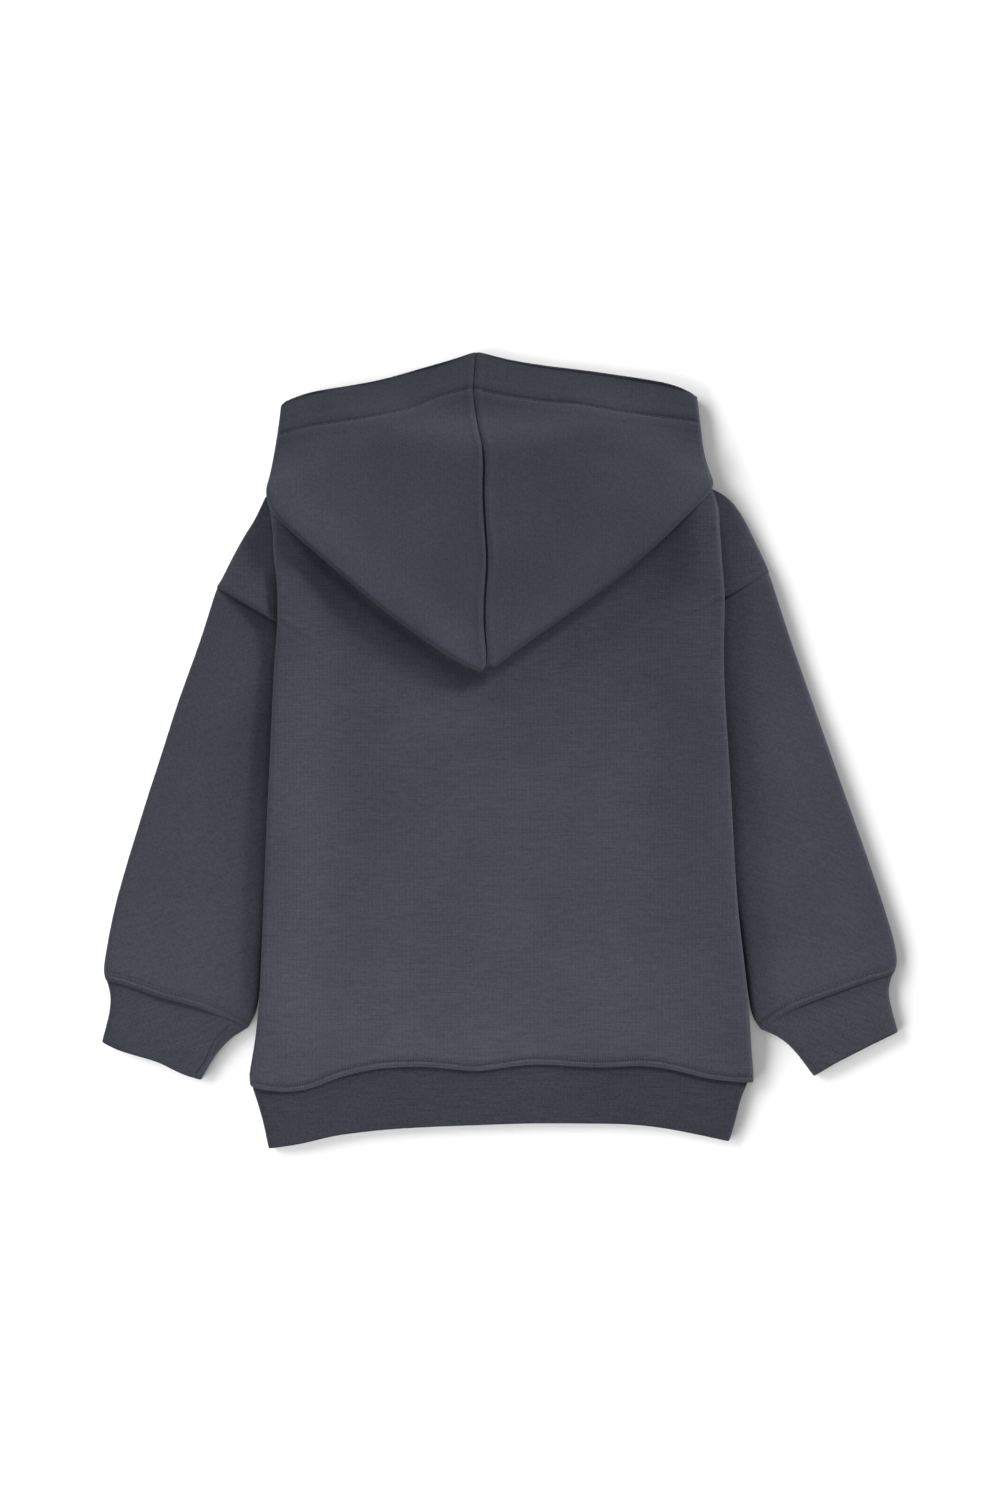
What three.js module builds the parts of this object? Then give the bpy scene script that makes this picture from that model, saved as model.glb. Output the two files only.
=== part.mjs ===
// A toddler's pullover hoodie in brushed fleece, laid flat on its front with the hood turned down on the back.
// The wearer's front lies on the surface. The sleeves hang down beside the body and tuck a little way under its
// side folds. Every piece is a wall of cloth, worked out from the garment's outline seen from above and from the
// heights at which its layers lie. Millimetres, +X to the right seen from above, +Y towards the hood, +Z up.
import * as THREE from "three";

// Cloth and seams
const FLEECE = 2.2; // body, sleeves and hood
const RIB = 2.6; // cuffs and hem band, sewn double
const SEAM_GAP = 0.3; // between two pieces at a seam
const EDGE_SPACE = 0.5; // between the body's side and the sleeve beside it

// Heights of the layers' middle surfaces
const FLOOR_LAYER = FLEECE / 2; // the layer that lies on the surface
const ON_TOP = FLEECE + SEAM_GAP; // from one layer up to the next that lies on it
const EDGE_LAYER = FLOOR_LAYER + ON_TOP; // back panel where it meets the front panel at the shoulder
const SHOULDER_LAYER = 5.4; // back panel and sleeve top at the armhole seam
const SIDE_FOOT = FLEECE + SEAM_GAP; // lower end of the body's sides, on the front panel's edge
const SIDE_LIFT_WIDTH = 50; // how far the side folds lift the back
const SLEEVE_CREST = 1.3; // how much higher a sleeve's top is in the middle than at its edges
const HOOD_HEM_DEPTH = 22; // turned-in casing round the face opening
const HOOD_HEM_EXTRA = 1.2; // its second layer of cloth, on the inside
const HOOD_MOUTH_PEAK = 5.4; // the face opening's upper edge at the centre seam
const HOOD_MOUTH_CORNER = 7.4; // and at its two corners
const HOOD_EDGE_LOFT = 5.2; // hood's top layer over its under layer, along the outer fold
const HOOD_INNER_LOFT = 3.3; // and inside it
const HOOD_TIP_LOFT = 2.7; // and at the tip
const HOOD_SPACE = 0.2; // more room between the hood's under layer and the back
const HOOD_RAMP = 28; // length over which the hood comes down from the shoulders to its edge

// Radii of the two turns in the fold along the body's side
const OUTER_TURN = 2.2;
const INNER_TURN = 1.7;

// Height of the back's middle from the hem seam (0) to the neck (1), with the rolled lip above the hem seam.
const BACK_HEIGHTS = [
  { row: 0, height: 5.8 }, { row: 0.006, height: 7 }, { row: 0.02, height: 7.4 }, { row: 0.06, height: 7.1 },
  { row: 0.16, height: 6.5 }, { row: 0.5, height: 6.2 }, { row: 0.85, height: 5.9 }, { row: 1, height: 5.2 },
];

// The fold along the body's side, from the hem seam (0) to the armhole seam (1) and on to the shoulder (2): height
// of its top, how many degrees the cloth turns, the length lying flat between its two turns, and how far each
// millimetre outwards also runs towards the hood. Above the armhole the top follows from the turns.
const SIDE_FOLD = [
  { stage: 0, top: 5.8, turn: 90, tuck: 0.25, swing: 0 },
  { stage: 0.008, top: 7.2, turn: 90, tuck: 0.25, swing: 0 },
  { stage: 0.026, top: 7.8, turn: 90, tuck: 0.25, swing: 0 },
  { stage: 0.17, top: 10, turn: 90, tuck: 0.25, swing: 0 },
  { stage: 0.27, top: 11.4, turn: 95, tuck: 0.25, swing: 0 },
  { stage: 0.43, top: 12.6, turn: 163, tuck: 0.4, swing: 0 },
  { stage: 0.64, top: 13.2, turn: 180, tuck: 2.8, swing: 0 },
  { stage: 0.84, top: 13.2, turn: 180, tuck: 5.8, swing: 0.1 },
  { stage: 1, top: 13.2, turn: 180, tuck: 9.4, swing: 0.5 },
  { stage: 1.2, top: 13, turn: 170, tuck: 4, swing: 0.35 },
  { stage: 1.4, top: 12, turn: 138, tuck: 1.5, swing: 0.15 },
  { stage: 1.6, top: 10, turn: 100, tuck: 1.3, swing: -0.05 },
  { stage: 1.78, top: 8, turn: 70, tuck: 1.2, swing: -0.25 },
  { stage: 1.9, top: 5, turn: 42, tuck: 1.1, swing: -0.4 },
  { stage: 2, top: 3.6, turn: 0, tuck: 1, swing: -0.52 },
];

// The hem seam's wave and the band's lower edge, which bows up in the middle.
const HEM_SEAM = [
  { x: -160, y: -214.6 }, { x: -150, y: -217 }, { x: -136, y: -218.2 }, { x: -120, y: -215.6 },
  { x: -102, y: -208.5 }, { x: -77, y: -203 }, { x: -51, y: -201.8 }, { x: -32, y: -203.2 },
  { x: -16, y: -205 }, { x: 2, y: -202.6 }, { x: 24, y: -200.2 }, { x: 61, y: -202.5 },
  { x: 94, y: -201.3 }, { x: 115, y: -205 }, { x: 135, y: -210 }, { x: 162, y: -212.5 },
];
const HEM_EDGE = [
  { x: -148, y: -254.8 }, { x: -128, y: -252 }, { x: -105, y: -246.5 }, { x: -64, y: -242 },
  { x: -20, y: -240 }, { x: 30, y: -238.6 }, { x: 77, y: -239 }, { x: 100, y: -241 },
  { x: 120, y: -244.5 }, { x: 146.5, y: -250.2 },
];

// Shoulder line and back neck of the back panel, and the two ends of the neck.
const BACK_NECK = { left: -73.5, right: 64 };
const BACK_TOP = [
  { x: -149.5, y: 161.5 }, { x: -112, y: 181 }, { x: -73.5, y: 199.5 }, { x: -50, y: 194.8 },
  { x: -28, y: 191.2 }, { x: -6, y: 190 }, { x: 18, y: 192 }, { x: 42, y: 196.8 },
  { x: 64, y: 202.5 }, { x: 100, y: 185 }, { x: 136.5, y: 166.5 },
];

// The two sides' outlines seen from above, from the hem to the hood.
const SIDES = {
  left: {
    outward: -1,
    armholeRow: 0.774,
    fold: [
      { y: -216, out: 159.5 }, { y: -207, out: 160.3 }, { y: -194, out: 157.5 }, { y: -160, out: 153.2 },
      { y: -131, out: 152 }, { y: -80, out: 150 }, { y: -30, out: 148 }, { y: 8, out: 146 },
      { y: 57, out: 144 }, { y: 80, out: 142 }, { y: 102, out: 142 }, { y: 127, out: 145 },
      { y: 145, out: 146.2 }, { y: 155, out: 147.5 }, { y: 162, out: 149.5 },
    ],
    armhole: [
      { x: -181, y: 103.5 }, { x: -168, y: 96.6 }, { x: -155, y: 89.2 }, { x: -142.5, y: 82 }, { x: -124, y: 72 },
    ],
    shoulder: [[-181, 103.5], [-177.5, 110], [-171.5, 122], [-164.5, 135], [-156, 148.5], [-149.5, 161.5]],
    sleeveOuter: [
      [-181, 103.5], [-184.5, 93], [-191.5, 70], [-201, 44.5], [-210, 19], [-217.5, -6.5], [-226.5, -32.5],
      [-234, -58], [-242, -83.5], [-248.5, -109], [-252, -130], [-253.6, -141], [-252, -147],
    ],
    sleeveCorner: [[-155, -166], [-158, -172], [-161.5, -178]],
    cuffSeam: [
      [-161.5, -178], [-171.5, -173.6], [-181, -168.6], [-192, -164.2], [-205, -160.6], [-218, -157.2],
      [-230.5, -152.8], [-242, -149], [-252, -147],
    ],
    cuffInner: [[-161.5, -178], [-169.5, -181.6], [-174.5, -186], [-179.5, -191.5], [-184.5, -199], [-190.8, -211]],
    cuffOuter: [[-252, -147], [-248.8, -152], [-248.4, -158], [-249.6, -168], [-252, -177], [-254.6, -186.5]],
    cuffEnd: [
      [-190.8, -211], [-198, -209], [-205, -206.5], [-217.5, -199.8], [-227, -197], [-246.5, -191],
      [-254.6, -186.5],
    ],
    bandSide: [[-158.5, -215], [-155, -225], [-152, -235], [-150, -245], [-148, -254.8]],
    frontNeck: [[-78, 197], [-73.5, 187], [-58, 171], [-34, 160.5], [-8, 157]],
    hoodHem: [
      [-15, 255], [-32, 248.8], [-57.5, 241.8], [-77, 236], [-102.5, 231.8], [-124, 228], [-134, 225],
      [-140, 220],
    ],
    hoodEdge: [
      [-140, 220], [-141.5, 207.5], [-144, 191.5], [-147, 175], [-149.5, 163], [-146.5, 151], [-128, 134.5],
      [-102.5, 112.5], [-77, 90.5], [-51, 71.5], [-27, 55.5], [-12.6, 49.6],
    ],
    hoodChin: [[-72, 222], [-75, 203]],
    hoodNeck: [[-75, 203], [-77.5, 205.5], [-76.5, 207.2], [-72, 203.4], [-50, 195.8], [-28, 192.2], [-8.8, 191]],
  },
  right: {
    outward: 1,
    armholeRow: 0.813,
    fold: [
      { y: -216, out: 161.5 }, { y: -207, out: 162 }, { y: -194, out: 160.6 }, { y: -160, out: 158.8 },
      { y: -131, out: 155 }, { y: -80, out: 150 }, { y: -30, out: 147.5 }, { y: 8, out: 145 },
      { y: 57, out: 142.6 }, { y: 95, out: 143.4 }, { y: 115, out: 142 }, { y: 130, out: 141 },
      { y: 145, out: 140.8 }, { y: 158, out: 140 }, { y: 167, out: 136.5 },
    ],
    armhole: [
      { x: 124, y: 88 }, { x: 134, y: 92.5 }, { x: 143.5, y: 97.5 }, { x: 152, y: 102 }, { x: 160, y: 106.3 },
      { x: 172, y: 113 },
    ],
    shoulder: [[172, 113], [167.8, 124], [163, 133.5], [158.5, 142.8], [153.5, 151.8], [146, 160.8], [136.5, 166.5]],
    sleeveOuter: [
      [172, 113], [177.5, 96], [186, 70], [195, 44.5], [204, 19], [213, -6.5], [222, -32.5], [231.5, -58],
      [240, -83.5], [248.5, -109], [252.6, -124], [254, -136], [251.5, -143],
    ],
    sleeveCorner: [[160.6, -169], [163.6, -174.5], [167.5, -179]],
    cuffSeam: [
      [167.5, -179], [171.5, -175.5], [179, -169.8], [189, -164.2], [198.5, -160.5], [216.5, -154], [233.5, -148],
      [251.5, -143],
    ],
    cuffInner: [[167.5, -179], [176, -181.6], [182.5, -186], [188, -191], [192, -197.5], [200.5, -208.6]],
    cuffOuter: [[251.5, -143], [247.8, -148.5], [248.2, -156], [250.6, -166], [254.6, -180.2]],
    cuffEnd: [[200.5, -208.6], [214.5, -200.2], [224, -195.3], [237, -188.7], [254.6, -180.2]],
    bandSide: [[158.5, -212.4], [154, -222.5], [151.5, -234], [149, -243.5], [146.5, -250.2]],
    frontNeck: [[68.5, 200], [64, 189], [48, 172.5], [22, 160.8], [-8, 157]],
    hoodHem: [[-15, 255], [0, 250.6], [25.5, 246], [51, 243], [77, 239.3], [102.5, 235], [119, 231.5], [126, 225]],
    hoodEdge: [
      [126, 225], [128, 209.5], [130.5, 188.5], [134, 176.5], [136.8, 167], [129, 159], [102.5, 133], [77, 110.5],
      [51, 91.5], [25.5, 73.5], [5, 59.2], [-5.6, 50.4],
    ],
    hoodChin: [[62, 224], [65.6, 206]],
    hoodNeck: [[65.6, 206], [68.2, 208.5], [67.2, 210.2], [62.6, 206.4], [42, 197.8], [18, 193], [-8.8, 191]],
  },
};

// The hood's centre seam, which wanders as the hood lies, from the face opening to the tip.
const HOOD_SEAM = [
  [-15, 255], [-16.4, 242], [-17, 229], [-15.6, 216], [-13.2, 202.5], [-9.8, 189], [-10.8, 169], [-10.4, 150],
  [-7.2, 124], [-9.8, 102], [-10.2, 80], [-8.2, 60], [-8.8, 53.4],
];

// Rows of the body, from the hem seam to the top edge.
const BODY_ROWS = [
  0, 0.006, 0.02, 0.05, 0.1, 0.17, 0.25, 0.33, 0.41, 0.49, 0.57, 0.65, 0.71, 0.752, 0.774, 0.794, 0.813, 0.832,
  0.855, 0.88, 0.905, 0.928, 0.948, 0.966, 0.982, 0.993, 1,
];

// Rows of half the hood: millimetres from the face opening along the centre seam and along the outer fold, how far
// round the neck seam and under seam the inner end has come (front neck 0 to 1, back neck 1 to 2, under seam 2
// to 3), and how far the under layer has climbed from the surface onto the back.
const HOOD_ROWS = [
  { seam: 0, edge: 0, inner: 0, climb: 0 },
  { seam: 1.5, edge: 1.5, inner: 0.03, climb: 0 },
  { seam: 11, edge: 11, inner: 0.2, climb: 0 },
  { seam: 20.6, edge: 20.6, inner: 0.42, climb: 0 },
  { seam: 22, edge: 22, inner: 0.46, climb: 0 },
  { seam: 23.4, edge: 23.4, inner: 0.5, climb: 0 },
  { seam: 31, edge: 33.5, inner: 0.76, climb: 0 },
  { seam: 38, edge: 44, inner: 1, climb: 0 },
  { seam: 42, edge: 49, inner: 1.045, climb: 0.33 },
  { seam: 46, edge: 53.5, inner: 1.075, climb: 0.67 },
  { seam: 51, edge: 58.5, inner: 1.14, climb: 1 },
  { seam: 60, edge: 70, inner: 1.4, climb: 1 },
  { seam: 74, edge: 90, inner: 1.75, climb: 1 },
  { seam: 92, edge: 114, inner: 2, climb: 1 },
  { seam: 114, edge: 142, inner: 2.18, climb: 1 },
  { seam: 138, edge: 171, inner: 2.38, climb: 1 },
  { seam: 160, edge: 197, inner: 2.58, climb: 1 },
  { seam: 180, edge: 218, inner: 2.77, climb: 1 },
  { seam: 194, edge: 232, inner: 2.91, climb: 1 },
  { seam: 202.4, edge: 240, inner: 3, climb: 1 },
];

const clamp = (value) => Math.min(1, Math.max(0, value));
const mix = (a, b, share) => a + (b - a) * share;
const mixPoints = (a, b, share) => ({ x: mix(a.x, b.x, share), y: mix(a.y, b.y, share) });
const distance = (a, b) => Math.hypot(b.x - a.x, b.y - a.y);
const shares = (count) => Array.from({ length: count + 1 }, (_, i) => i / count);
const ease = (from, to, value) => {
  const share = clamp((value - from) / (to - from));
  return share * share * (3 - 2 * share);
};

// A smooth plan curve through [x, y] points, read by share of its length.
function curve(points) {
  const line = new THREE.CatmullRomCurve3(points.map(([x, y]) => new THREE.Vector3(x, y, 0)));
  line.arcLengthDivisions = 300;
  const read = (share) => line.getPointAt(clamp(share));
  read.size = line.getLength();
  return read;
}

// One column of a table against another, rising and falling only as its rows do.
function graph(table, key, value) {
  const at = table.map((row) => row[key]);
  const to = table.map((row) => row[value]);
  const steps = at.slice(1).map((next, i) => (to[i + 1] - to[i]) / (next - at[i]));
  const slopes = at.map((_, i) => {
    const before = steps[i - 1] ?? steps[0];
    const after = steps[i] ?? steps.at(-1);
    return before * after <= 0 ? 0 : (2 * before * after) / (before + after);
  });
  return (where) => {
    if (where <= at[0]) return to[0];
    if (where >= at.at(-1)) return to.at(-1);
    const i = at.findIndex((next) => next > where) - 1;
    const width = at[i + 1] - at[i];
    const t = (where - at[i]) / width;
    const bend = (1 - t) * slopes[i] - t * slopes[i + 1];
    return mix(to[i], to[i + 1], t * t * (3 - 2 * t)) + width * t * (1 - t) * bend;
  };
}

// The part of the plan between four edges that meet at its corners.
function patch(near, far, first, last) {
  const [nearFirst, nearLast, farFirst, farLast] = [near(0), near(1), far(0), far(1)];
  return (across, along) => {
    const between = mixPoints(near(across), far(across), along);
    const beside = mixPoints(first(along), last(along), across);
    const corners = mixPoints(mixPoints(nearFirst, nearLast, across), mixPoints(farFirst, farLast, across), along);
    return { x: between.x + beside.x - corners.x, y: between.y + beside.y - corners.y };
  };
}

// The plan direction square to the line from one point to another.
const squareTo = (from, to) => new THREE.Vector3(to.y - from.y, from.x - to.x, 0).normalize();

// Moves a point on a seam half the seam's gap into its own piece.
function intoPiece(at, rim, inside) {
  const side = Math.sign((inside.x - at.x) * rim.x + (inside.y - at.y) * rim.y) * (SEAM_GAP / 2);
  return { x: at.x + rim.x * side, y: at.y + rim.y * side };
}

// Cloth in the making: points of its middle surface with the thickness on both sides, and its faces. A point on a
// seam or a cut edge has a rim, the plan direction square to it, so that the edge comes out upright.
class Cloth {
  constructor(thick = FLEECE) {
    this.half = thick / 2;
    this.points = [];
    this.faces = [];
  }

  point({ x, y }, z, rim = null, extra = 0) {
    this.points.push({ at: new THREE.Vector3(x, y, z), out: this.half, back: this.half + extra, rim });
    return this.points.length - 1;
  }

  // Faces between rows of points that run the same way. Where points coincide, the face loses a corner.
  sheet(rows, { flip = false, around = false } = {}) {
    for (let i = 0; i + 1 < rows.length; i++) {
      const count = rows[i].length;
      for (let j = 0; j < (around ? count : count - 1); j++) {
        const k = (j + 1) % count;
        const corners = [rows[i][j], rows[i][k], rows[i + 1][k], rows[i + 1][j]];
        const face = corners.filter((corner, n) => corner !== corners[(n + 1) % 4]);
        if (face.length > 2) this.faces.push(flip ? face.reverse() : face);
      }
    }
  }

  // Directions square to the cloth, upright rims kept.
  normals() {
    const normals = this.points.map(() => new THREE.Vector3());
    for (const face of this.faces) {
      const [a, b, c, d] = face.length === 4 ? face : [...face, face[2]];
      const across = this.points[c].at.clone().sub(this.points[a].at);
      const along = this.points[d].at.clone().sub(this.points[b].at);
      if (face.length === 3) across.copy(this.points[b].at).sub(this.points[a].at);
      const square = across.cross(along);
      face.forEach((corner) => normals[corner].add(square));
    }
    return normals.map((normal, i) => {
      const { rim } = this.points[i];
      if (rim) normal.addScaledVector(rim, -normal.dot(rim));
      return normal.normalize();
    });
  }

  // The closed wall: both sides of the cloth and a rim along each free edge.
  wall() {
    const normals = this.normals();
    const count = this.points.length;
    const outside = this.points.map(({ at, out }, i) => at.clone().addScaledVector(normals[i], out));
    const inside = this.points.map(({ at, back }, i) => at.clone().addScaledVector(normals[i], -back));
    const triangles = [];
    const add = ([a, b, c, d]) => {
      triangles.push(a, b, c);
      if (d !== undefined) triangles.push(a, c, d);
    };
    const edges = new Map();
    for (const face of this.faces) {
      face.forEach((from, i) => {
        const to = face[(i + 1) % face.length];
        if (!edges.delete(`${to} ${from}`)) edges.set(`${from} ${to}`, [from, to]);
      });
      const [first, ...others] = face.map((corner) => corner + count);
      add(face);
      add([first, ...others.reverse()]);
    }
    for (const [from, to] of edges.values()) add([to, from, from + count, to + count]);
    const geometry = new THREE.BufferGeometry().setFromPoints([...outside, ...inside]);
    geometry.setIndex(triangles);
    geometry.computeVertexNormals();
    return geometry;
  }
}

// A flattened tube of cloth over a part of the plan, across it between its two side folds and along it between
// its two open ends. The height of the top layer depends on both shares.
function flatTube({ plan, rows, thick, top, topSteps, bottomSteps }) {
  const turnSteps = 6;
  const bottom = thick / 2;
  const cloth = new Cloth(thick);
  const rings = rows.map((along) => {
    const width = distance(plan(0, along), plan(1, along));
    const radius = [0, 1].map((side) => (top(side, along) - bottom) / 2);
    const inset = radius.map((value) => (thick / 2 + value) / width);
    const path = shares(topSteps).map((share) => {
      const across = mix(inset[0], 1 - inset[1], share);
      return { across, z: top(across, along) };
    });
    const turn = (side) => {
      for (let k = 1; k < turnSteps; k++) {
        const angle = (Math.PI * k) / turnSteps;
        const across = (thick / 2 + radius[side] * (1 - Math.sin(angle))) / width;
        const lift = radius[side] * Math.cos(angle) * (side ? 1 : -1);
        path.push({ across: side ? 1 - across : across, z: bottom + radius[side] + lift });
      }
    };
    turn(1);
    shares(bottomSteps).forEach((share) => {
      path.push({ across: mix(1 - inset[1], inset[0], share), z: bottom });
    });
    turn(0);
    const inner = along === 0 ? 0.03 : 0.97;
    return path.map(({ across, z }) => {
      if (along > 0 && along < 1) return cloth.point(plan(across, along), z);
      const rim = squareTo(plan(clamp(across - 0.01), along), plan(clamp(across + 0.01), along));
      return cloth.point(intoPiece(plan(across, along), rim, plan(across, inner)), z, rim);
    });
  });
  cloth.sheet(rings, { around: true, flip: plan(1, 0).x > plan(0, 0).x });
  return cloth.wall();
}

const hemSeamY = graph(HEM_SEAM, "x", "y");
const hemEdgeY = graph(HEM_EDGE, "x", "y");
const backTopY = graph(BACK_TOP, "x", "y");
const backHeight = graph(BACK_HEIGHTS, "row", "height");
const rowY = (x, row) => mix(hemSeamY(x), backTopY(x), row);
const fold = Object.fromEntries(["top", "turn", "tuck", "swing"].map((key) => [key, graph(SIDE_FOLD, "stage", key)]));
for (const side of Object.values(SIDES)) {
  side.foldOut = graph(side.fold, "y", "out");
  side.armholeY = graph([...side.armhole].sort((a, b) => a.x - b.x), "x", "y");
  side.shoulderLine = curve(side.shoulder);
}

// Height of the shoulder cloth that comes out from under the side fold, from the armhole (1) to its end (2).
const shoulderHeight = (stage) => mix(SHOULDER_LAYER, EDGE_LAYER, (stage - 1) ** 2);

// The body's side at one row: where its fold starts, and the cloth's path from there round the fold.
function bodySide(side, row) {
  const { outward, armholeRow, foldOut, armholeY } = side;
  const below = row <= armholeRow;
  const stage = below ? row / armholeRow : 1 + (row - armholeRow) / (1 - armholeRow);
  const turn = (fold.turn(stage) * Math.PI) / 180;
  const steps = [];
  let [out, drop, reach] = [0, 0, 0];
  const step = (length, angle) => {
    out += length * Math.cos(angle);
    drop += length * Math.sin(angle);
    reach = Math.max(reach, out + (FLEECE / 2) * Math.sin(angle));
    steps.push({ out, drop });
  };
  const bend = (from, to, radius, count) => {
    const length = Math.max(0.25, (radius * Math.abs(to - from)) / count);
    for (let k = 0; k < count; k++) step(length, mix(from, to, (k + 0.5) / count));
  };
  bend(0, turn, OUTER_TURN, 6);
  step(fold.tuck(stage), turn);
  const halfway = stage <= 1 ? Math.PI / 2 : turn / 2;
  bend(turn, halfway, INNER_TURN, 3);
  if (stage >= 1) bend(halfway, 0, INNER_TURN, 3);
  let start = { x: outward * 140, y: 0 };
  for (let k = 0; k < 4; k++) {
    start.y = rowY(start.x, row);
    start.x = outward * (foldOut(start.y) - reach);
  }
  const top = stage < 1 ? fold.top(stage) : shoulderHeight(stage) + drop;
  const path = steps.map((at) => {
    const x = start.x + outward * at.out;
    const along = mix(rowY(x, row), start.y + fold.swing(stage) * at.out, ease(0, 0.2, stage));
    const y = stage === 1 ? armholeY(x) : along;
    return { x, y, z: top - at.drop };
  });
  if (stage < 1) path.push({ ...path.at(-1), z: SIDE_FOOT });
  return { start: { ...start, z: top }, path, stage };
}

// Middle height of the back between its two side folds. It comes down on the front panel along the shoulder
// seams, and lies on the hood's chin between them.
function backRowHeight(x, row, left, right) {
  const outside = Math.max(BACK_NECK.left - x, x - BACK_NECK.right);
  const drop = (backHeight(1) - EDGE_LAYER) * ease(-12, 0, outside) * ease(0.84, 1, row);
  const base = backHeight(row) - drop;
  const lift = ({ start }) => (start.z - base) * (1 - ease(0, SIDE_LIFT_WIDTH, Math.abs(x - start.x)));
  return base + lift(left) + lift(right);
}

// The same for any point of the plan, which the hood lies on.
function backHeightAt(x, y) {
  const inner = Math.min(136, Math.max(-148, x));
  const row = clamp((y - hemSeamY(inner)) / (backTopY(inner) - hemSeamY(inner)));
  const [left, right] = [bodySide(SIDES.left, row), bodySide(SIDES.right, row)];
  return backRowHeight(Math.min(right.start.x, Math.max(left.start.x, x)), row, left, right);
}

function backPanel() {
  const columns = 24;
  const cloth = new Cloth();
  const sections = BODY_ROWS.map((row) => {
    const ends = { left: bodySide(SIDES.left, row), right: bodySide(SIDES.right, row) };
    const seamAt = (x) => {
      if (row > 0 && row < 1) return null;
      return squareTo({ x: x - 1, y: rowY(x - 1, row) }, { x: x + 1, y: rowY(x + 1, row) });
    };
    const place = ({ x, y, z }) => {
      const rim = seamAt(x);
      return cloth.point(row === 0 ? intoPiece({ x, y }, rim, { x, y: y + 9 }) : { x, y }, z, rim);
    };
    const middle = shares(columns).map((share) => {
      const x = mix(ends.left.start.x, ends.right.start.x, share);
      return place({ x, y: rowY(x, row), z: backRowHeight(x, row, ends.left, ends.right) });
    });
    const paths = {};
    for (const [name, side] of Object.entries(SIDES)) {
      const { path, stage } = ends[name];
      paths[name] = path.map(({ x, y, z }, k) => {
        const onSeam = stage === 1 && k >= 9;
        const rim = squareTo({ x: x - 1, y: side.armholeY(x - 1) }, { x: x + 1, y: side.armholeY(x + 1) });
        return onSeam ? cloth.point(intoPiece({ x, y }, rim, { x, y: y + 9 }), z, rim) : place({ x, y, z });
      });
    }
    return { row, middle, paths, ends };
  });
  const common = 10;
  cloth.sheet(sections.map(({ middle, paths }) => {
    const [left, right] = [paths.left.slice(0, common), paths.right.slice(0, common)];
    return [...left.reverse(), ...middle, ...right];
  }));
  for (const [name, side] of Object.entries(SIDES)) {
    const order = (row) => (side.outward < 0 ? [...row].reverse() : row);
    const lower = sections.filter(({ row }) => row <= side.armholeRow);
    cloth.sheet(lower.map(({ paths, ends }) => {
      const quarter = paths[name][common - 1];
      return order([quarter, ends[name].stage < 1 ? paths[name][common] : quarter]);
    }));
    const upper = sections.filter(({ row }) => row >= side.armholeRow);
    cloth.sheet(upper.map(({ paths, ends }) => order([
      ...paths[name].slice(common - 1),
      ...shoulderRow(cloth, side, ends[name], paths[name].at(-1)),
    ])));
  }
  return cloth.wall();
}

// The shoulder's cloth outside the fold at one row, out to the shoulder's edge.
function shoulderRow(cloth, side, { path, stage }, end) {
  const spread = [0.3, 0.58, 0.8, 0.93, 1];
  const edgeWidth = 6;
  if (stage === 2) return spread.map(() => end);
  const share = stage - 1;
  const inner = path.at(-1);
  const outer = side.shoulderLine(share);
  const first = bodySide(side, side.armholeRow).path.at(-1);
  const corner = side.shoulderLine(0);
  const height = shoulderHeight(stage);
  return spread.map((across) => {
    const chord = mixPoints(first, corner, across);
    const bow = (side.armholeY(chord.x) - chord.y) * (1 - share) ** 2;
    const at = mixPoints(inner, outer, across);
    at.y += bow;
    const rise = clamp(distance(at, outer) / edgeWidth);
    const z = mix(EDGE_LAYER, height, Math.sqrt(1 - (1 - rise) ** 2));
    if (share === 0) {
      const rim = squareTo({ x: at.x - 1, y: side.armholeY(at.x - 1) }, { x: at.x + 1, y: side.armholeY(at.x + 1) });
      return cloth.point(intoPiece(at, rim, { x: at.x, y: at.y + 9 }), z, rim);
    }
    const rim = across < 1 ? null : squareTo(side.shoulderLine(share - 0.02), side.shoulderLine(share + 0.02));
    return cloth.point(at, z, rim);
  });
}

// The front panel's edge at one side: up the side to the armhole, out along it, and over the shoulder to the neck.
function frontSide(side) {
  const { outward, armholeRow, armholeY, shoulderLine, frontNeck } = side;
  const sideRows = BODY_ROWS.filter((row) => row < armholeRow);
  const edge = sideRows.map((row) => {
    const { x, y } = bodySide(side, row).path.at(-1);
    return { x: x + (outward * FLEECE) / 2, y: row === 0 ? hemSeamY(x) + SEAM_GAP * 0.8 : y };
  });
  const corner = edge.at(-1).x - outward * 0.6;
  for (const share of shares(8)) {
    const x = mix(corner, shoulderLine(0).x, share);
    edge.push({ x, y: armholeY(x) + SEAM_GAP / 2 });
  }
  shares(8).slice(1).forEach((share) => edge.push(shoulderLine(share)));
  const last = shoulderLine(1).x;
  for (const share of [0.35, 0.7]) {
    const x = mix(last, frontNeck[0][0], share);
    edge.push({ x, y: backTopY(x) });
  }
  const neck = curve(frontNeck);
  shares(8).forEach((share) => edge.push(neck(share)));
  return edge;
}

function frontPanel() {
  const left = frontSide(SIDES.left);
  const right = frontSide(SIDES.right);
  const hem = shares(44).slice(1, -1).map((share) => {
    const x = mix(right[0].x, left[0].x, share);
    return { x, y: hemSeamY(x) + SEAM_GAP * 0.8 };
  });
  const outline = [...left, ...right.slice(0, -1).reverse(), ...hem];
  const shape = new THREE.Shape(outline.map(({ x, y }) => new THREE.Vector2(x, y)));
  return new THREE.ExtrudeGeometry(shape, { depth: FLEECE, bevelEnabled: false });
}

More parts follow.
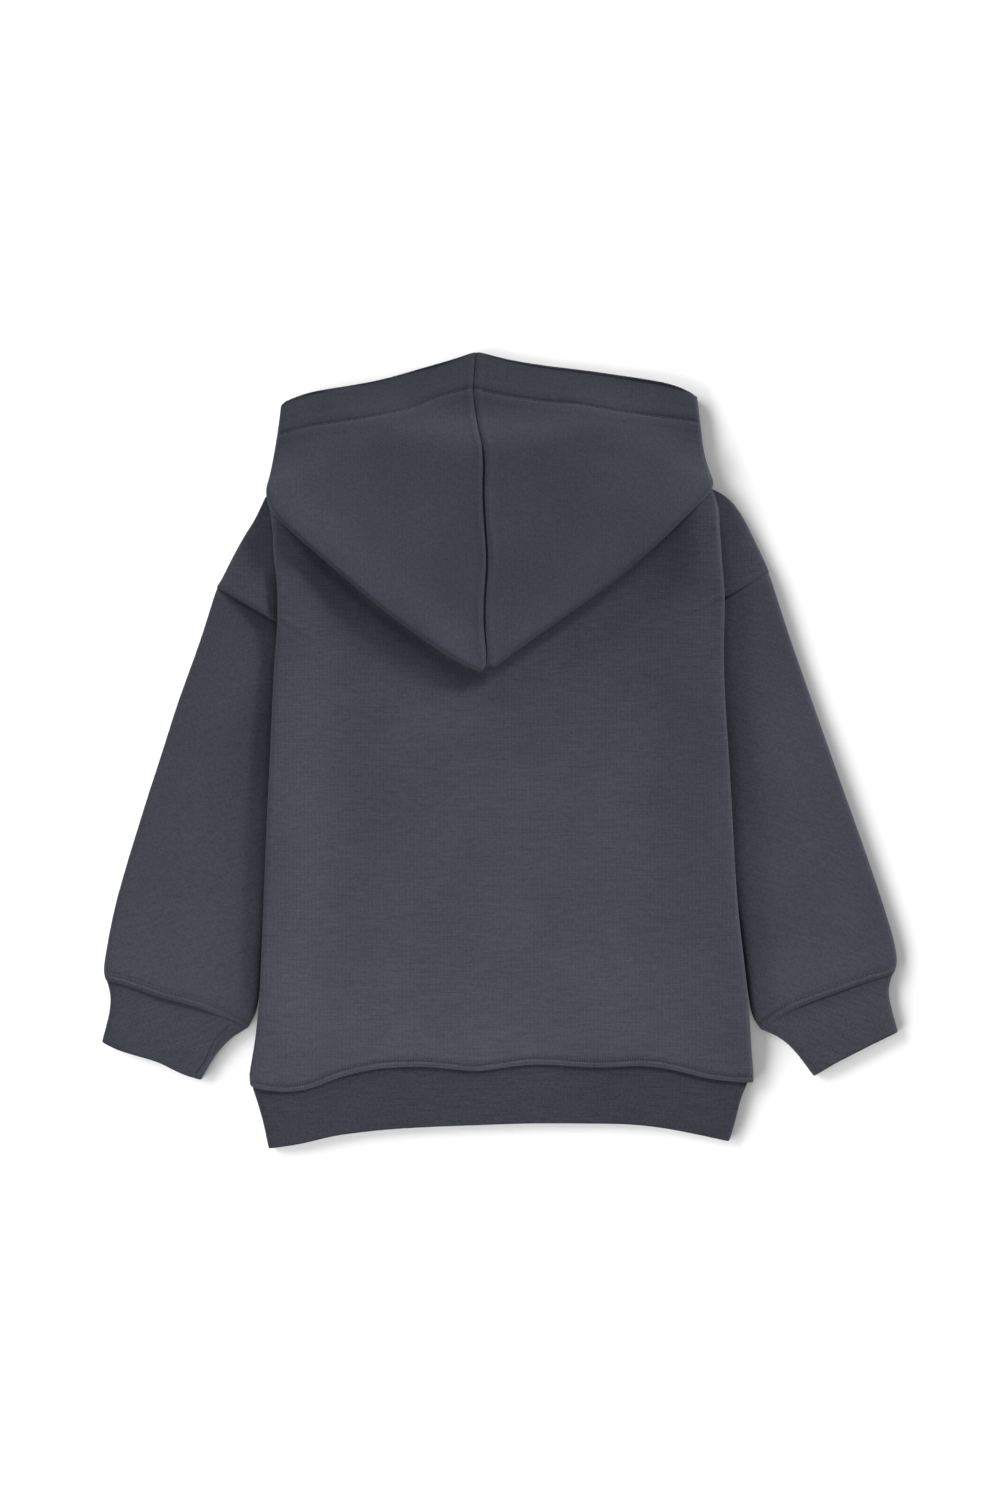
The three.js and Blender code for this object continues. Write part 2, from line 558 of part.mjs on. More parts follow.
function sleeve(side) {
  const { outward, armholeRow, armholeY, sleeveOuter, sleeveCorner, cuffSeam } = side;
  const beside = BODY_ROWS.filter((row) => row >= 0.15 && row < armholeRow).reverse().map((row) => {
    const { x, y } = bodySide(side, row).path.at(-1);
    return [x + outward * (FLEECE / 2 + EDGE_SPACE), y];
  });
  const start = beside[0][0] - outward * 0.4;
  const inner = curve([[start, armholeY(start)], ...beside, ...sleeveCorner]);
  const outer = curve(sleeveOuter);
  const armhole = (share) => {
    const x = mix(start, sleeveOuter[0][0], share);
    return { x, y: armholeY(x) };
  };
  const endDrop = graph([
    { along: 0, height: 0 }, { along: 0.9, height: 0.3 }, { along: 0.975, height: 0.7 },
    { along: 0.993, height: 0.5 }, { along: 1, height: -0.4 },
  ], "along", "height");
  return flatTube({
    plan: patch(armhole, curve(cuffSeam), inner, outer),
    rows: [0, 0.01, 0.05, 0.13, 0.22, 0.32, 0.42, 0.52, 0.62, 0.72, 0.82, 0.9, 0.95, 0.975, 0.993, 1],
    thick: FLEECE,
    topSteps: 9,
    bottomSteps: 5,
    top: (across, along) => {
      const crest = SLEEVE_CREST * Math.sin(Math.PI * across) ** 2 * ease(0, 0.35, along);
      return SHOULDER_LAYER + crest + endDrop(along);
    },
  });
}

function cuff(side) {
  const { cuffSeam, cuffInner, cuffOuter, cuffEnd } = side;
  return flatTube({
    plan: patch(curve(cuffSeam), curve(cuffEnd), curve(cuffInner), curve(cuffOuter)),
    rows: [0, 0.05, 0.3, 0.6, 0.9, 1],
    thick: RIB,
    topSteps: 8,
    bottomSteps: 5,
    top: (across, along) => 4.9 + 0.6 * Math.sin(Math.PI * across) + 0.3 * Math.sin(Math.PI * along),
  });
}

function hemBand() {
  const [left, right] = [SIDES.left.bandSide, SIDES.right.bandSide];
  const seam = (share) => {
    const x = mix(left[0][0], right[0][0], share);
    return { x, y: hemSeamY(x) };
  };
  const edge = (share) => {
    const x = mix(left.at(-1)[0], right.at(-1)[0], share);
    return { x, y: hemEdgeY(x) };
  };
  return flatTube({
    plan: patch(seam, edge, curve(left), curve(right)),
    rows: [0, 0.05, 0.3, 0.6, 0.9, 1],
    thick: RIB,
    topSteps: 30,
    bottomSteps: 26,
    top: (across, along) => 5.2 + 0.5 * Math.sin(Math.PI * along),
  });
}

// Half the hood: its top layer from the centre seam out to the fold, round the fold, and its under layer back in
// to the neck seam or the centre seam. The rows run from the face opening to the tip.
function hoodHalf(side) {
  const { outward, hoodHem, hoodEdge, hoodChin, hoodNeck, frontNeck } = side;
  const cloth = new Cloth();
  const [seam, hem, edge] = [curve(HOOD_SEAM), curve(hoodHem), curve(hoodEdge)];
  const frontSeam = curve([...frontNeck].reverse());
  const backSeam = curve(hoodNeck);
  const aside = outward * (SEAM_GAP / 2);
  const centre = (point) => ({ x: point.x + aside, y: point.y });
  const underSeam = (share) => mixPoints({ x: -8.8, y: 191 }, seam(1), share);
  const [topSteps, turnSteps, underSteps, chinSteps] = [9, 6, 8, 4];
  const last = HOOD_ROWS.at(-1);
  const reach = 9;
  const support = ({ x, y }) => {
    const around = [[0, 0], [reach, 0], [-reach, 0], [0, reach], [0, -reach]];
    return Math.max(...around.map(([dx, dy]) => backHeightAt(x + dx, y + dy))) + ON_TOP + HOOD_SPACE;
  };
  const layer = (at, climb) => (climb ? mix(FLOOR_LAYER, support(at), climb) : FLOOR_LAYER);
  const topHeight = (at, share, across) => {
    const beyond = at.y - backTopY(Math.min(136, Math.max(-148, at.x)));
    const mouth = mix(HOOD_MOUTH_PEAK, HOOD_MOUTH_CORNER, across);
    const fullness = mix(HOOD_INNER_LOFT, HOOD_EDGE_LOFT, ease(0.45, 1, across));
    const loft = mix(HOOD_TIP_LOFT, fullness, ease(0, 0.16, 1 - share));
    return mix(support(at) + loft, mouth, ease(0, HOOD_RAMP, beyond));
  };
  const rows = HOOD_ROWS.map((row) => {
    const share = row.seam / last.seam;
    const from = centre(seam(row.seam / seam.size));
    const to = edge(row.edge / edge.size);
    const casing = HOOD_HEM_EXTRA * (1 - ease(HOOD_HEM_DEPTH - 1.4, HOOD_HEM_DEPTH + 1.4, row.seam));
    const bow = (across) => {
      const [point, chord] = [hem(across), mixPoints(hem(0), hem(1), across)];
      return { x: (point.x - chord.x) * (1 - share) ** 2, y: (point.y - chord.y) * (1 - share) ** 2 };
    };
    const top = (across) => {
      const [at, shift] = [mixPoints(from, to, across), bow(across)];
      return { x: at.x + shift.x, y: at.y + shift.y };
    };
    const early = row.inner <= 1;
    const chin = mixPoints(...hoodChin.map(([x, y]) => ({ x, y })), row.edge / HOOD_ROWS[7].edge);
    const late = row.inner < 2 ? backSeam(row.inner - 1) : centre(underSeam(row.inner - 2));
    const inner = early ? chin : late;
    const [topAtFold, underAtFold] = [topHeight(to, share, 1), layer(to, row.climb)];
    const radius = (topAtFold - underAtFold) / 2;
    const topInset = (FLEECE / 2 + radius) / distance(from, to);
    const underInset = (FLEECE / 2 + radius) / distance(to, inner);
    const put = (at, z, rim = null) => cloth.point(at, z, rim, casing);
    const seamRim = new THREE.Vector3(1, 0, 0);
    const points = shares(topSteps).map((step) => {
      const across = step * (1 - Math.min(topInset, 0.7));
      const at = top(across);
      return put(at, topHeight(at, share, across), step === 0 ? seamRim : null);
    });
    const inward = {
      top: mixPoints({ x: 0, y: 0 }, { x: top(0.9).x - to.x, y: top(0.9).y - to.y }, 1 / distance(top(0.9), to)),
      under: mixPoints({ x: 0, y: 0 }, { x: inner.x - to.x, y: inner.y - to.y }, 1 / distance(inner, to)),
    };
    const squeeze = Math.min(1, 0.7 / topInset);
    for (let k = 1; k < turnSteps; k++) {
      const angle = (Math.PI * k) / turnSteps;
      const depth = (FLEECE / 2 + radius * (1 - Math.sin(angle))) * squeeze;
      const way = mixPoints(inward.top, inward.under, k / turnSteps);
      const at = { x: to.x + way.x * depth, y: to.y + way.y * depth };
      points.push(put(at, underAtFold + radius * (1 + Math.cos(angle))));
    }
    shares(underSteps).forEach((step) => {
      const at = mixPoints(to, inner, mix(Math.min(underInset, 0.7), 1, step));
      const rim = step === 1 && row.inner > 2 ? seamRim : null;
      points.push(put(at, layer(at, row.climb), rim));
    });
    const under = points.at(-1);
    if (row.inner < 1) {
      const neck = frontSeam(row.inner);
      const neckIn = { x: neck.x - (neck.x + 8) * 0.004 + aside, y: neck.y + SEAM_GAP };
      shares(chinSteps).slice(1).forEach((step) => points.push(put(mixPoints(inner, neckIn, step), FLOOR_LAYER)));
    } else {
      for (let k = 0; k < chinSteps; k++) points.push(under);
    }
    return points;
  });
  const chinColumns = rows[0].length - chinSteps;
  const flip = outward > 0;
  cloth.sheet(rows.map((row) => row.slice(0, chinColumns)), { flip });
  cloth.sheet(rows.slice(0, 8).map((row) => row.slice(chinColumns - 1)), { flip });
  return cloth.wall();
}

const COLOURS = { body: 0x4a4b54, sleeve: 0x47484f, hood: 0x44474e, rib: 0x44464e };

const hoodie = new THREE.Group();
hoodie.name = "toddler_hoodie";
function addPiece(name, geometry, colour) {
  const material = new THREE.MeshStandardMaterial({ color: colour, roughness: 0.95, metalness: 0 });
  material.name = `${name}_cloth`;
  const piece = new THREE.Mesh(geometry, material);
  piece.name = name;
  hoodie.add(piece);
}

addPiece("front", frontPanel(), COLOURS.body);
addPiece("back", backPanel(), COLOURS.body);
addPiece("hem_band", hemBand(), COLOURS.rib);
for (const [name, side] of Object.entries(SIDES)) {
  addPiece(`sleeve_${name}`, sleeve(side), COLOURS.sleeve);
  addPiece(`cuff_${name}`, cuff(side), COLOURS.rib);
  addPiece(`hood_${name}`, hoodHalf(side), COLOURS.hood);
}

export default hoodie;
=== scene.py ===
# %% [markdown]
# # A toddler's fleece hoodie, laid flat
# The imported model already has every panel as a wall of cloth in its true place. This script gives each panel
# a smooth shell on that form, presses creases and seams into it, sews the visible stitches, and gives the
# fleece its knitted face. Lengths are written in millimetres, because a tailor works in them, and turned to
# metres where Blender needs them.

import bmesh
import bpy
import numpy as np
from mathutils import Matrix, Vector
from mathutils.bvhtree import BVHTree


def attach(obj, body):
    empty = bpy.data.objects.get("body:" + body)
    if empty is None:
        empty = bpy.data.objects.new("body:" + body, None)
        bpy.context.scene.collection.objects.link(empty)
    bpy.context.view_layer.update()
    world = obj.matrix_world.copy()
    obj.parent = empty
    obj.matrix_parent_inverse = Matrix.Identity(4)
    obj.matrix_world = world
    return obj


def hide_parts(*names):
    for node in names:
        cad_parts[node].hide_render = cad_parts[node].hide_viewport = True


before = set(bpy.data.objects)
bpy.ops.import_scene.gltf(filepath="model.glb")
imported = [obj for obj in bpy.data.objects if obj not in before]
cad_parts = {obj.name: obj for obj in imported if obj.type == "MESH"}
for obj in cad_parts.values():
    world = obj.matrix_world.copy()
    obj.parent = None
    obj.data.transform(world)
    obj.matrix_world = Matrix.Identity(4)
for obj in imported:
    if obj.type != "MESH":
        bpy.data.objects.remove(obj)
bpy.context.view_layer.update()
MM = 0.001
print("panels:", sorted(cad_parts))

# %% [markdown]
# ## The camera
# The garment lies on a pale surface and the photograph looks straight down on it. A long lens, far above,
# keeps the few millimetres of height from shifting the outline. The picture is taller than wide, so its long
# side takes the sensor's width.

# %% Place the camera over the middle of the garment
PICTURE_HEIGHT = 960 * MM
LENS_MM = 100
SENSOR_MM = 36
camera_height = PICTURE_HEIGHT * LENS_MM / SENSOR_MM
camera_data = bpy.data.cameras.new("overhead_camera")
camera_data.lens = LENS_MM
camera_data.sensor_width = SENSOR_MM
camera = bpy.data.objects.new("overhead_camera", camera_data)
camera.location = (0, 0, camera_height)
bpy.context.scene.collection.objects.link(camera)
bpy.context.scene.camera = camera
print("camera height, m:", round(camera_height, 3))

# %% [markdown]
# ## The floor and the light
# A plain white floor under a soft, even sky, which gives the shade where one layer lies on another. Broad
# lamps from the left, and one overhead, keep the floor white and throw the garment's shadow to the right of
# it. On the garment the shade falls the other way, below the hood and beside the left armhole. So it has
# lamps of its own: the main one at the upper right, and a low one on each side that brings out lips and
# creases. A soft box beyond the hem makes the garment lighter there, and a small one hangs over its middle.
# Light linking, which is a list of the objects that a lamp may light, keeps the two sets apart. The other way
# would be to take one light for all, but then either the shadow or the shade is wrong. The Standard view
# shows the colours as they are, with no film curve.

# %% Lay the floor
FLOOR_SIZE = 12
floor_mesh = bpy.data.meshes.new("floor")
half_floor = FLOOR_SIZE / 2
floor_mesh.from_pydata(
    [(-half_floor, -half_floor, 0), (half_floor, -half_floor, 0), (half_floor, half_floor, 0),
     (-half_floor, half_floor, 0)], [], [(0, 1, 2, 3)])
floor = bpy.data.objects.new("floor", floor_mesh)
bpy.context.scene.collection.objects.link(floor)
bpy.context.scene.view_settings.view_transform = "Standard"
print("floor, m:", FLOOR_SIZE)

# %% List the lamps
# A sun's light is the share of full white that it gives a level white surface, and its spread is in degrees.
SKY = 0.31
SUNS = {
    "floor_lamp_upper_left": {"from": (-0.9, 0.5, 0.24), "light": 0.50, "spread": 50, "lights": "floor"},
    "floor_lamp_lower_left": {"from": (-0.9, -0.5, 0.26), "light": 0.34, "spread": 50, "lights": "floor"},
    "floor_lamp_overhead": {"from": (0, 0, 1), "light": 0.12, "spread": 10, "lights": "floor"},
    "strip_lamp_upper_right": {"from": (0.6, 0.75, 0.34), "light": 0.25, "spread": 10, "lights": "garment"},
    "low_lamp_right": {"from": (0.8, 0.6, 0.16), "light": 0.12, "spread": 14, "lights": "garment"},
    "low_lamp_left": {"from": (-0.6, 0.78, 0.17), "light": 0.14, "spread": 14, "lights": "garment"},
}
SOFT_BOXES = {
    "soft_box_below_hem": {"at": (-0.07, -0.6, 0.3), "aim": (0, 0, 0), "watts": 2.95, "size": 0.4},
    "soft_box_over_chest": {"at": (-0.05, -0.06, 0.35), "aim": (-0.05, -0.06, 0), "watts": 0.2, "size": 0.25},
}
floor_alone = bpy.data.collections.new("floor_alone")
floor_alone.objects.link(floor)
all_but_floor = bpy.data.collections.new("all_but_floor")
all_but_floor.objects.link(floor)
all_but_floor.collection_objects[0].light_linking.link_state = "EXCLUDE"


# %% Hang the lamps
def hang(name, lamp, place, aim, lights):
    obj = bpy.data.objects.new(name, lamp)
    obj.location = place
    obj.rotation_euler = (Vector(place) - Vector(aim)).to_track_quat("Z", "Y").to_euler()
    bpy.context.scene.collection.objects.link(obj)
    obj.light_linking.receiver_collection = floor_alone if lights == "floor" else all_but_floor


for name, sun in SUNS.items():
    lamp = bpy.data.lights.new(name, "SUN")
    steep = Vector(sun["from"]).normalized().z
    lamp.energy = sun["light"] * np.pi / steep
    lamp.angle = np.radians(sun["spread"])
    hang(name, lamp, sun["from"], (0, 0, 0), sun["lights"])
for name, box in SOFT_BOXES.items():
    lamp = bpy.data.lights.new(name, "AREA")
    lamp.energy = box["watts"]
    lamp.size = box["size"]
    hang(name, lamp, box["at"], box["aim"], "garment")
sky = bpy.data.worlds.new("soft_sky")
sky.use_nodes = True
sky.node_tree.nodes["Background"].inputs["Color"].default_value = (1, 1, 1, 1)
sky.node_tree.nodes["Background"].inputs["Strength"].default_value = SKY
bpy.context.scene.world = sky
print("lamps:", [*SUNS, *SOFT_BOXES])

# %% [markdown]
# ## Where the seams run
# The seams are drawn once, in millimetres on the plan, and used for everything that follows them: the rolled
# lips, the pressed furrows and the stitches. They are the same lines that the panels were cut to.

# %% Draw the seam lines
HEM_SEAM = [
    (-160, -214.6), (-150, -217), (-136, -218.2), (-120, -215.6), (-102, -208.5), (-77, -203), (-51, -201.8),
    (-32, -203.2), (-16, -205), (2, -202.6), (24, -200.2), (61, -202.5), (94, -201.3), (115, -205),
    (135, -210), (162, -212.5),
]
CUFF_SEAM = {
    "left": [
        (-161.5, -178), (-171.5, -173.6), (-181, -168.6), (-192, -164.2), (-205, -160.6), (-218, -157.2),
        (-230.5, -152.8), (-242, -149), (-252, -147),
    ],
    "right": [
        (167.5, -179), (171.5, -175.5), (179, -169.8), (189, -164.2), (198.5, -160.5), (216.5, -154),
        (233.5, -148), (251.5, -143),
    ],
}
ARMHOLE = {
    "left": [(-181, 103.5), (-168, 96.6), (-155, 89.2), (-142.5, 82), (-124, 72)],
    "right": [(124, 88), (134, 92.5), (143.5, 97.5), (152, 102), (160, 106.3), (172, 113)],
}
HOOD_SEAM = [
    (-15, 255), (-16.4, 242), (-17, 229), (-15.6, 216), (-13.2, 202.5), (-9.8, 189), (-10.8, 169),
    (-10.4, 150), (-7.2, 124), (-9.8, 102), (-10.2, 80), (-8.2, 60), (-8.8, 53.4),
]
CUFF_CLOSING = [
    (-172.8, -175.7), (-177.9, -179.5), (-182.4, -184.6), (-186.9, -193.6), (-190.1, -200), (-194.6, -206.4),
]

# %% Draw the folds and the casing's line
HOOD_FOLD = {
    "left": [
        (-149.5, 163), (-146.5, 151), (-128, 134.5), (-102.5, 112.5), (-77, 90.5), (-51, 71.5), (-27, 55.5),
        (-12.6, 49.6),
    ],
    "right": [
        (136.8, 167), (129, 159), (102.5, 133), (77, 110.5), (51, 91.5), (25.5, 73.5), (5, 59.2), (-5.6, 50.4),
    ],
}
BODY_FOLD = {
    "left": [
        (-159.5, -216), (-157.5, -194), (-153.2, -160), (-150, -80), (-148, -30), (-144, 57), (-142, 102),
        (-146.2, 145), (-149.5, 162),
    ],
    "right": [
        (161.5, -216), (160.6, -194), (158.8, -160), (155, -131), (150, -80), (145, 8), (142.6, 57),
        (142, 115), (140, 158), (136.5, 167),
    ],
}
HOOD_CASING = {
    "left": [
        (-16.5, 231.5), (-38.5, 226), (-51, 220.5), (-64, 216.5), (-89.5, 211.5), (-123, 206.5), (-141.5, 201),
    ],
    "right": [
        (-16.5, 231), (0, 227), (25.5, 223), (51, 220.8), (71.5, 217), (96, 213.6), (121.5, 210.2),
        (128, 208.5),
    ],
}

# %% Make smooth lines of them
POINTS_A_SPAN = 24


def smooth_line(points, step=1.0):
    """A plan line through the points with soft bends, in even steps of about that many millimetres."""
    p = np.array(points, float)
    p = np.vstack([2 * p[0] - p[1], p, 2 * p[-1] - p[-2]])
    t = np.linspace(0, 1, POINTS_A_SPAN, endpoint=False)[:, None]
    parts = []
    for a, b, c, d in zip(p[:-3], p[1:-2], p[2:-1], p[3:]):
        parts.append(0.5 * (2 * b + (c - a) * t + (2 * a - 5 * b + 4 * c - d) * t**2
                            + (3 * b - a - 3 * c + d) * t**3))
    line = np.vstack([*parts, p[-2:-1]])
    run = run_along(line)
    even = np.linspace(0, run[-1], max(2, int(run[-1] / step) + 1))
    return np.column_stack([np.interp(even, run, line[:, k]) for k in (0, 1)])


def run_along(line):
    """How far along a line each of its points is."""
    return np.concatenate([[0], np.cumsum(np.linalg.norm(np.diff(line, axis=0), axis=1))])


def offset_line(line, distance):
    """The line moved sideways, to its left where the distance is above zero."""
    along = np.gradient(line, axis=0)
    along /= np.linalg.norm(along, axis=1)[:, None]
    return line + distance * np.column_stack([-along[:, 1], along[:, 0]])


print("hem seam, mm:", round(run_along(smooth_line(HEM_SEAM))[-1]))


# %% Measure how far a place is from a line
def from_line(plan, line):
    """How far plan points lie from a line, and on which side: above zero on the left of its direction."""
    best = np.full(len(plan), np.inf)
    signed = np.zeros(len(plan))
    for a, b in zip(line[:-1], line[1:]):
        along = b - a
        share = np.clip(((plan - a) @ along) / (along @ along), 0, 1)
        off = plan - (a + share[:, None] * along)
        far = np.hypot(off[:, 0], off[:, 1])
        nearer = far < best
        side = np.sign(along[0] * off[:, 1] - along[1] * off[:, 0])
        signed[nearer] = (far * side)[nearer]
        best[nearer] = far[nearer]
    return signed


# %% [markdown]
# ## Shells
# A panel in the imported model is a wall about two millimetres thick, in flat faces some ten millimetres wide.
# Cloth has no such faces. Copying the wall, joining its triangles to four-sided faces and subdividing them
# keeps the form and rounds both the surface and the cut edges. Subdivision alone would round a cut edge as
# far as a sixth of a face, so the edges get a crease, which holds them to a radius near half the cloth's
# thickness.

# %% Find the cut edges
RIM_CREASE = 0.42
CORNER_CREASE = 0.5
SQUARE_TURN = (68, 112)  # degrees by which a wall's face turns at its cut edge
SEWN_TURN = 40  # degrees, where the cut edge of a sloping wall lies at a seam
CORNER_TURN = 30  # degrees, between two faces of the cut edge itself
CUT_EDGE = 3.4  # a cut edge is less high than this
SLOPING_CUT_EDGE = 6  # or than this, at a seam
ON_SEAM = 1  # a point this near a seam's line lies on it
UPRIGHT = 0.6  # a face is upright where its normal rises less than this
all_seams = [smooth_line(points, step=4) for points in
             (HEM_SEAM, HOOD_SEAM, *CUFF_SEAM.values(), *ARMHOLE.values())]


def is_square(edge):
    least, most = np.radians(SQUARE_TURN)
    return edge.is_manifold and least < edge.calc_face_angle() < most


# %% Hold the cut edges
def crease_cut_edges(bm):
    crease = bm.edges.layers.float.new("crease_edge")
    rims = set()
    points = np.array([v.co[:2] for v in bm.verts]) / MM
    on_seam = np.min([np.abs(from_line(points, line)) for line in all_seams], axis=0) < ON_SEAM
    for face in bm.faces:
        if len(face.edges) != 4:
            continue
        e = face.edges
        sewn = abs(face.normal.z) < UPRIGHT and all(on_seam[v.index] for v in face.verts)
        for a, b, cross in ((e[0], e[2], e[1]), (e[1], e[3], e[0])):
            square = is_square(a) and is_square(b)
            if square and cross.calc_length() < (SLOPING_CUT_EDGE if sewn else CUT_EDGE) * MM:
                a[crease] = b[crease] = RIM_CREASE
                rims.add(face)
        if sewn and face not in rims:
            for edge in e:
                if edge.calc_face_angle(0) > np.radians(SEWN_TURN):
                    edge[crease] = RIM_CREASE
            rims.add(face)
    for edge in bm.edges:
        turn = edge.calc_face_angle(0)
        if turn > np.radians(CORNER_TURN) and all(face in rims for face in edge.link_faces):
            edge[crease] = CORNER_CREASE
    return len(rims)


# %% Make a smooth shell on a panel's form
WELD = 1e-6  # metres
FLAT_ENOUGH = 50  # degrees between two triangles that become one face
SQUARE_ENOUGH = 60  # degrees by which such a face may be out of square
PLAIN_EDGE = 0.7  # rounding of a panel that isn't subdivided


def shell_on(node, name, levels):
    bm = bmesh.new()
    bm.from_mesh(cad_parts[node].data)
    bmesh.ops.remove_doubles(bm, verts=bm.verts, dist=WELD)
    bmesh.ops.join_triangles(
        bm, faces=bm.faces, angle_face_threshold=np.radians(FLAT_ENOUGH),
        angle_shape_threshold=np.radians(SQUARE_ENOUGH))
    rims = crease_cut_edges(bm) if levels else 0
    base = bpy.data.meshes.new(name + "_base")
    bm.to_mesh(base)
    bm.free()
    base.materials.clear()
    obj = bpy.data.objects.new(name, base)
    bpy.context.scene.collection.objects.link(obj)
    if levels:
        rounding = obj.modifiers.new("rounding", "SUBSURF")
        rounding.levels = rounding.render_levels = levels
    else:
        rounding = obj.modifiers.new("soft_edge", "BEVEL")
        rounding.width = PLAIN_EDGE * MM
        rounding.segments = 2
    graph = bpy.context.evaluated_depsgraph_get()
    obj.data = bpy.data.meshes.new_from_object(obj.evaluated_get(graph))
    obj.data.name = name
    obj.modifiers.clear()
    bpy.data.meshes.remove(base)
    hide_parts(node)
    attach(obj, "root")
    print(name, "faces:", len(obj.data.polygons), "rim faces:", rims)
    return obj


# %% Make the nine shells
# The front lies hidden under the others, so it keeps its flat faces. The back lies almost flat, and the band and
# the cuffs are narrow, so they need one halving of their faces less than the sleeves and the hood.
SMOOTHING = {
    "front": 0, "back": 2, "hem_band": 2, "cuff_left": 2, "cuff_right": 2, "sleeve_left": 3, "sleeve_right": 3,
    "hood_left": 3, "hood_right": 3,
}
shells = {}
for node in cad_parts:
    shells[node] = shell_on(node, "cloth_" + node, SMOOTHING[node])

# %% [markdown]
# ## Finer cloth beside the seams
# A lip or a furrow is only two or three millimetres wide, so the faces beside a seam are cut finer still.
# Cutting only those keeps the rest light. The lines have longer steps here, which makes measuring from them
# quick.

# %% Cut the faces beside a line finer
FACES_DOWN = -0.2  # a face whose normal is below this lies underneath


def refine(obj, line, reach, cuts):
    bm = bmesh.new()
    bm.from_mesh(obj.data)
    faces = list(bm.faces)
    middles = np.array([face.calc_center_median()[:2] for face in faces]) / MM
    tops = np.array([face.normal.z for face in faces])
    low, high = line.min(0) - reach, line.max(0) + reach
    near = (tops > FACES_DOWN) & (middles > low).all(1) & (middles < high).all(1)
    index = np.flatnonzero(near)
    index = index[np.abs(from_line(middles[index], line)) < reach]
    edges = {edge for i in index for edge in faces[i].edges}
    bmesh.ops.subdivide_edges(bm, edges=list(edges), cuts=cuts, use_grid_fill=True)
    bm.to_mesh(obj.data)
    bm.free()


# %% Refine the shells along their seams
hem_line = smooth_line(HEM_SEAM, step=5)
hood_seam = smooth_line(HOOD_SEAM, step=5)
cuff_closing = smooth_line(CUFF_CLOSING, step=2)
cuff_seam = {side: smooth_line(points, step=5) for side, points in CUFF_SEAM.items()}
armhole = {side: smooth_line(points, step=6) for side, points in ARMHOLE.items()}
hood_casing = {side: smooth_line(points, step=6) for side, points in HOOD_CASING.items()}
hood_fold = {side: smooth_line(points, step=6) for side, points in HOOD_FOLD.items()}
body_fold = {side: smooth_line(points, step=8) for side, points in BODY_FOLD.items()}
refine(shells["back"], hem_line, reach=9, cuts=2)
refine(shells["hem_band"], hem_line, reach=5, cuts=2)
for side in ("left", "right"):
    refine(shells["back"], armhole[side], reach=8, cuts=2)
    refine(shells["back"], hood_fold[side], reach=9, cuts=1)
    refine(shells["hood_" + side], hood_casing[side], reach=4, cuts=1)
    refine(shells["hood_" + side], hood_seam, reach=4, cuts=1)
    refine(shells["sleeve_" + side], cuff_seam[side], reach=9, cuts=1)
print("faces in the back:", len(shells["back"].data.polygons))

# %% [markdown]
# ## Moving the cloth
# A crease, a lip or a furrow is a small move of the cloth. Each is a function of the place, so that it can
# follow a seam. Lips and furrows move the upper face alone, along its own normal. Where a whole layer sags or
# stands off, both of its faces move together, straight up or down, and the cloth keeps its thickness.

# %% Move the points of a shell, in millimetres
FACES_UP = (0.1, 0.5)  # a lip starts where the normal rises this much, and is full this much further


def read(obj):
    mesh = obj.data
    places = np.empty(len(mesh.vertices) * 3)
    normals = np.empty(len(mesh.vertices) * 3)
    mesh.vertices.foreach_get("co", places)
    mesh.vertex_normals.foreach_get("vector", normals)
    return places.reshape(-1, 3) / MM, normals.reshape(-1, 3)


def write(obj, places):
    obj.data.vertices.foreach_set("co", (places * MM).ravel())
    obj.data.update()


def press(obj, heights_at):
    """Move the upper face along its normal."""
    places, normals = read(obj)
    facing = np.clip((normals[:, 2] - FACES_UP[0]) / FACES_UP[1], 0, 1)
    moves = heights_at(places) * facing
    write(obj, places + normals * moves[:, None])
    print(obj.name, "pressed, mm:", round(moves.min(), 2), "to", round(moves.max(), 2))


def lift(obj, rise_at):
    """Move whole layers straight up or down."""
    places, _ = read(obj)
    moves = rise_at(places)
    places[:, 2] += moves
    write(obj, places)
    print(obj.name, "lifted, mm:", round(moves.min(), 2), "to", round(moves.max(), 2))


# %% Soft ridges, steps and waves
WAVES = 9


def bump(distance, width):
    """A soft ridge of height 1 that ends at that width on both sides."""
    near = np.clip(np.abs(distance) / width, 0, 1)
    return (1 - near**2) ** 2


def relief(distance, ridges):
    """Ridges beside a line, each with its height, its distance from the line and its width to either side."""
    return sum(height * bump(distance - off, width) for height, off, width in ridges)


def rise(value, start, end):
    """A soft step from 0 at the start to 1 at the end."""
    share = np.clip((value - start) / (end - start), 0, 1)
    return share**2 * (3 - 2 * share)


def waves(plan, seed, length, stretch=(1, 1), turn=0.0):
    """Smooth, uneven undulation between about -1 and 1, with that wavelength in millimetres."""
    rng = np.random.default_rng(seed)
    c, s = np.cos(np.radians(turn)), np.sin(np.radians(turn))
    across = (plan[:, 0] * c + plan[:, 1] * s) / stretch[0]
    along = (plan[:, 1] * c - plan[:, 0] * s) / stretch[1]
    total = np.zeros(len(plan))
    for _ in range(WAVES):
        heading = rng.uniform(0, 2 * np.pi)
        rate = 2 * np.pi / (length * rng.uniform(0.7, 1.6))
        phase = rng.uniform(0, 2 * np.pi)
        total += np.sin((across * np.cos(heading) + along * np.sin(heading)) * rate + phase)
    return total / (WAVES / 2)


# %% [markdown]
# ## Closing the seams
# Two panels that are sewn together touch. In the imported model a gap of 0.3 mm keeps them apart, and rounding
# their edges widens it, so light would shine through. The edges are drawn together until they just press into
# each other, as sewn edges do. The hood's centre seam stays a little open on top, where the photograph shows
# it as a dark line of uneven width.

# %% Draw two edges together along a seam
ROUNDED_GAP = 0.62  # between two edges, after the rounding
PULL_REACH = 5.0  # no point farther from the other edge is moved
IN_PLACE = 0.05  # nor one this near


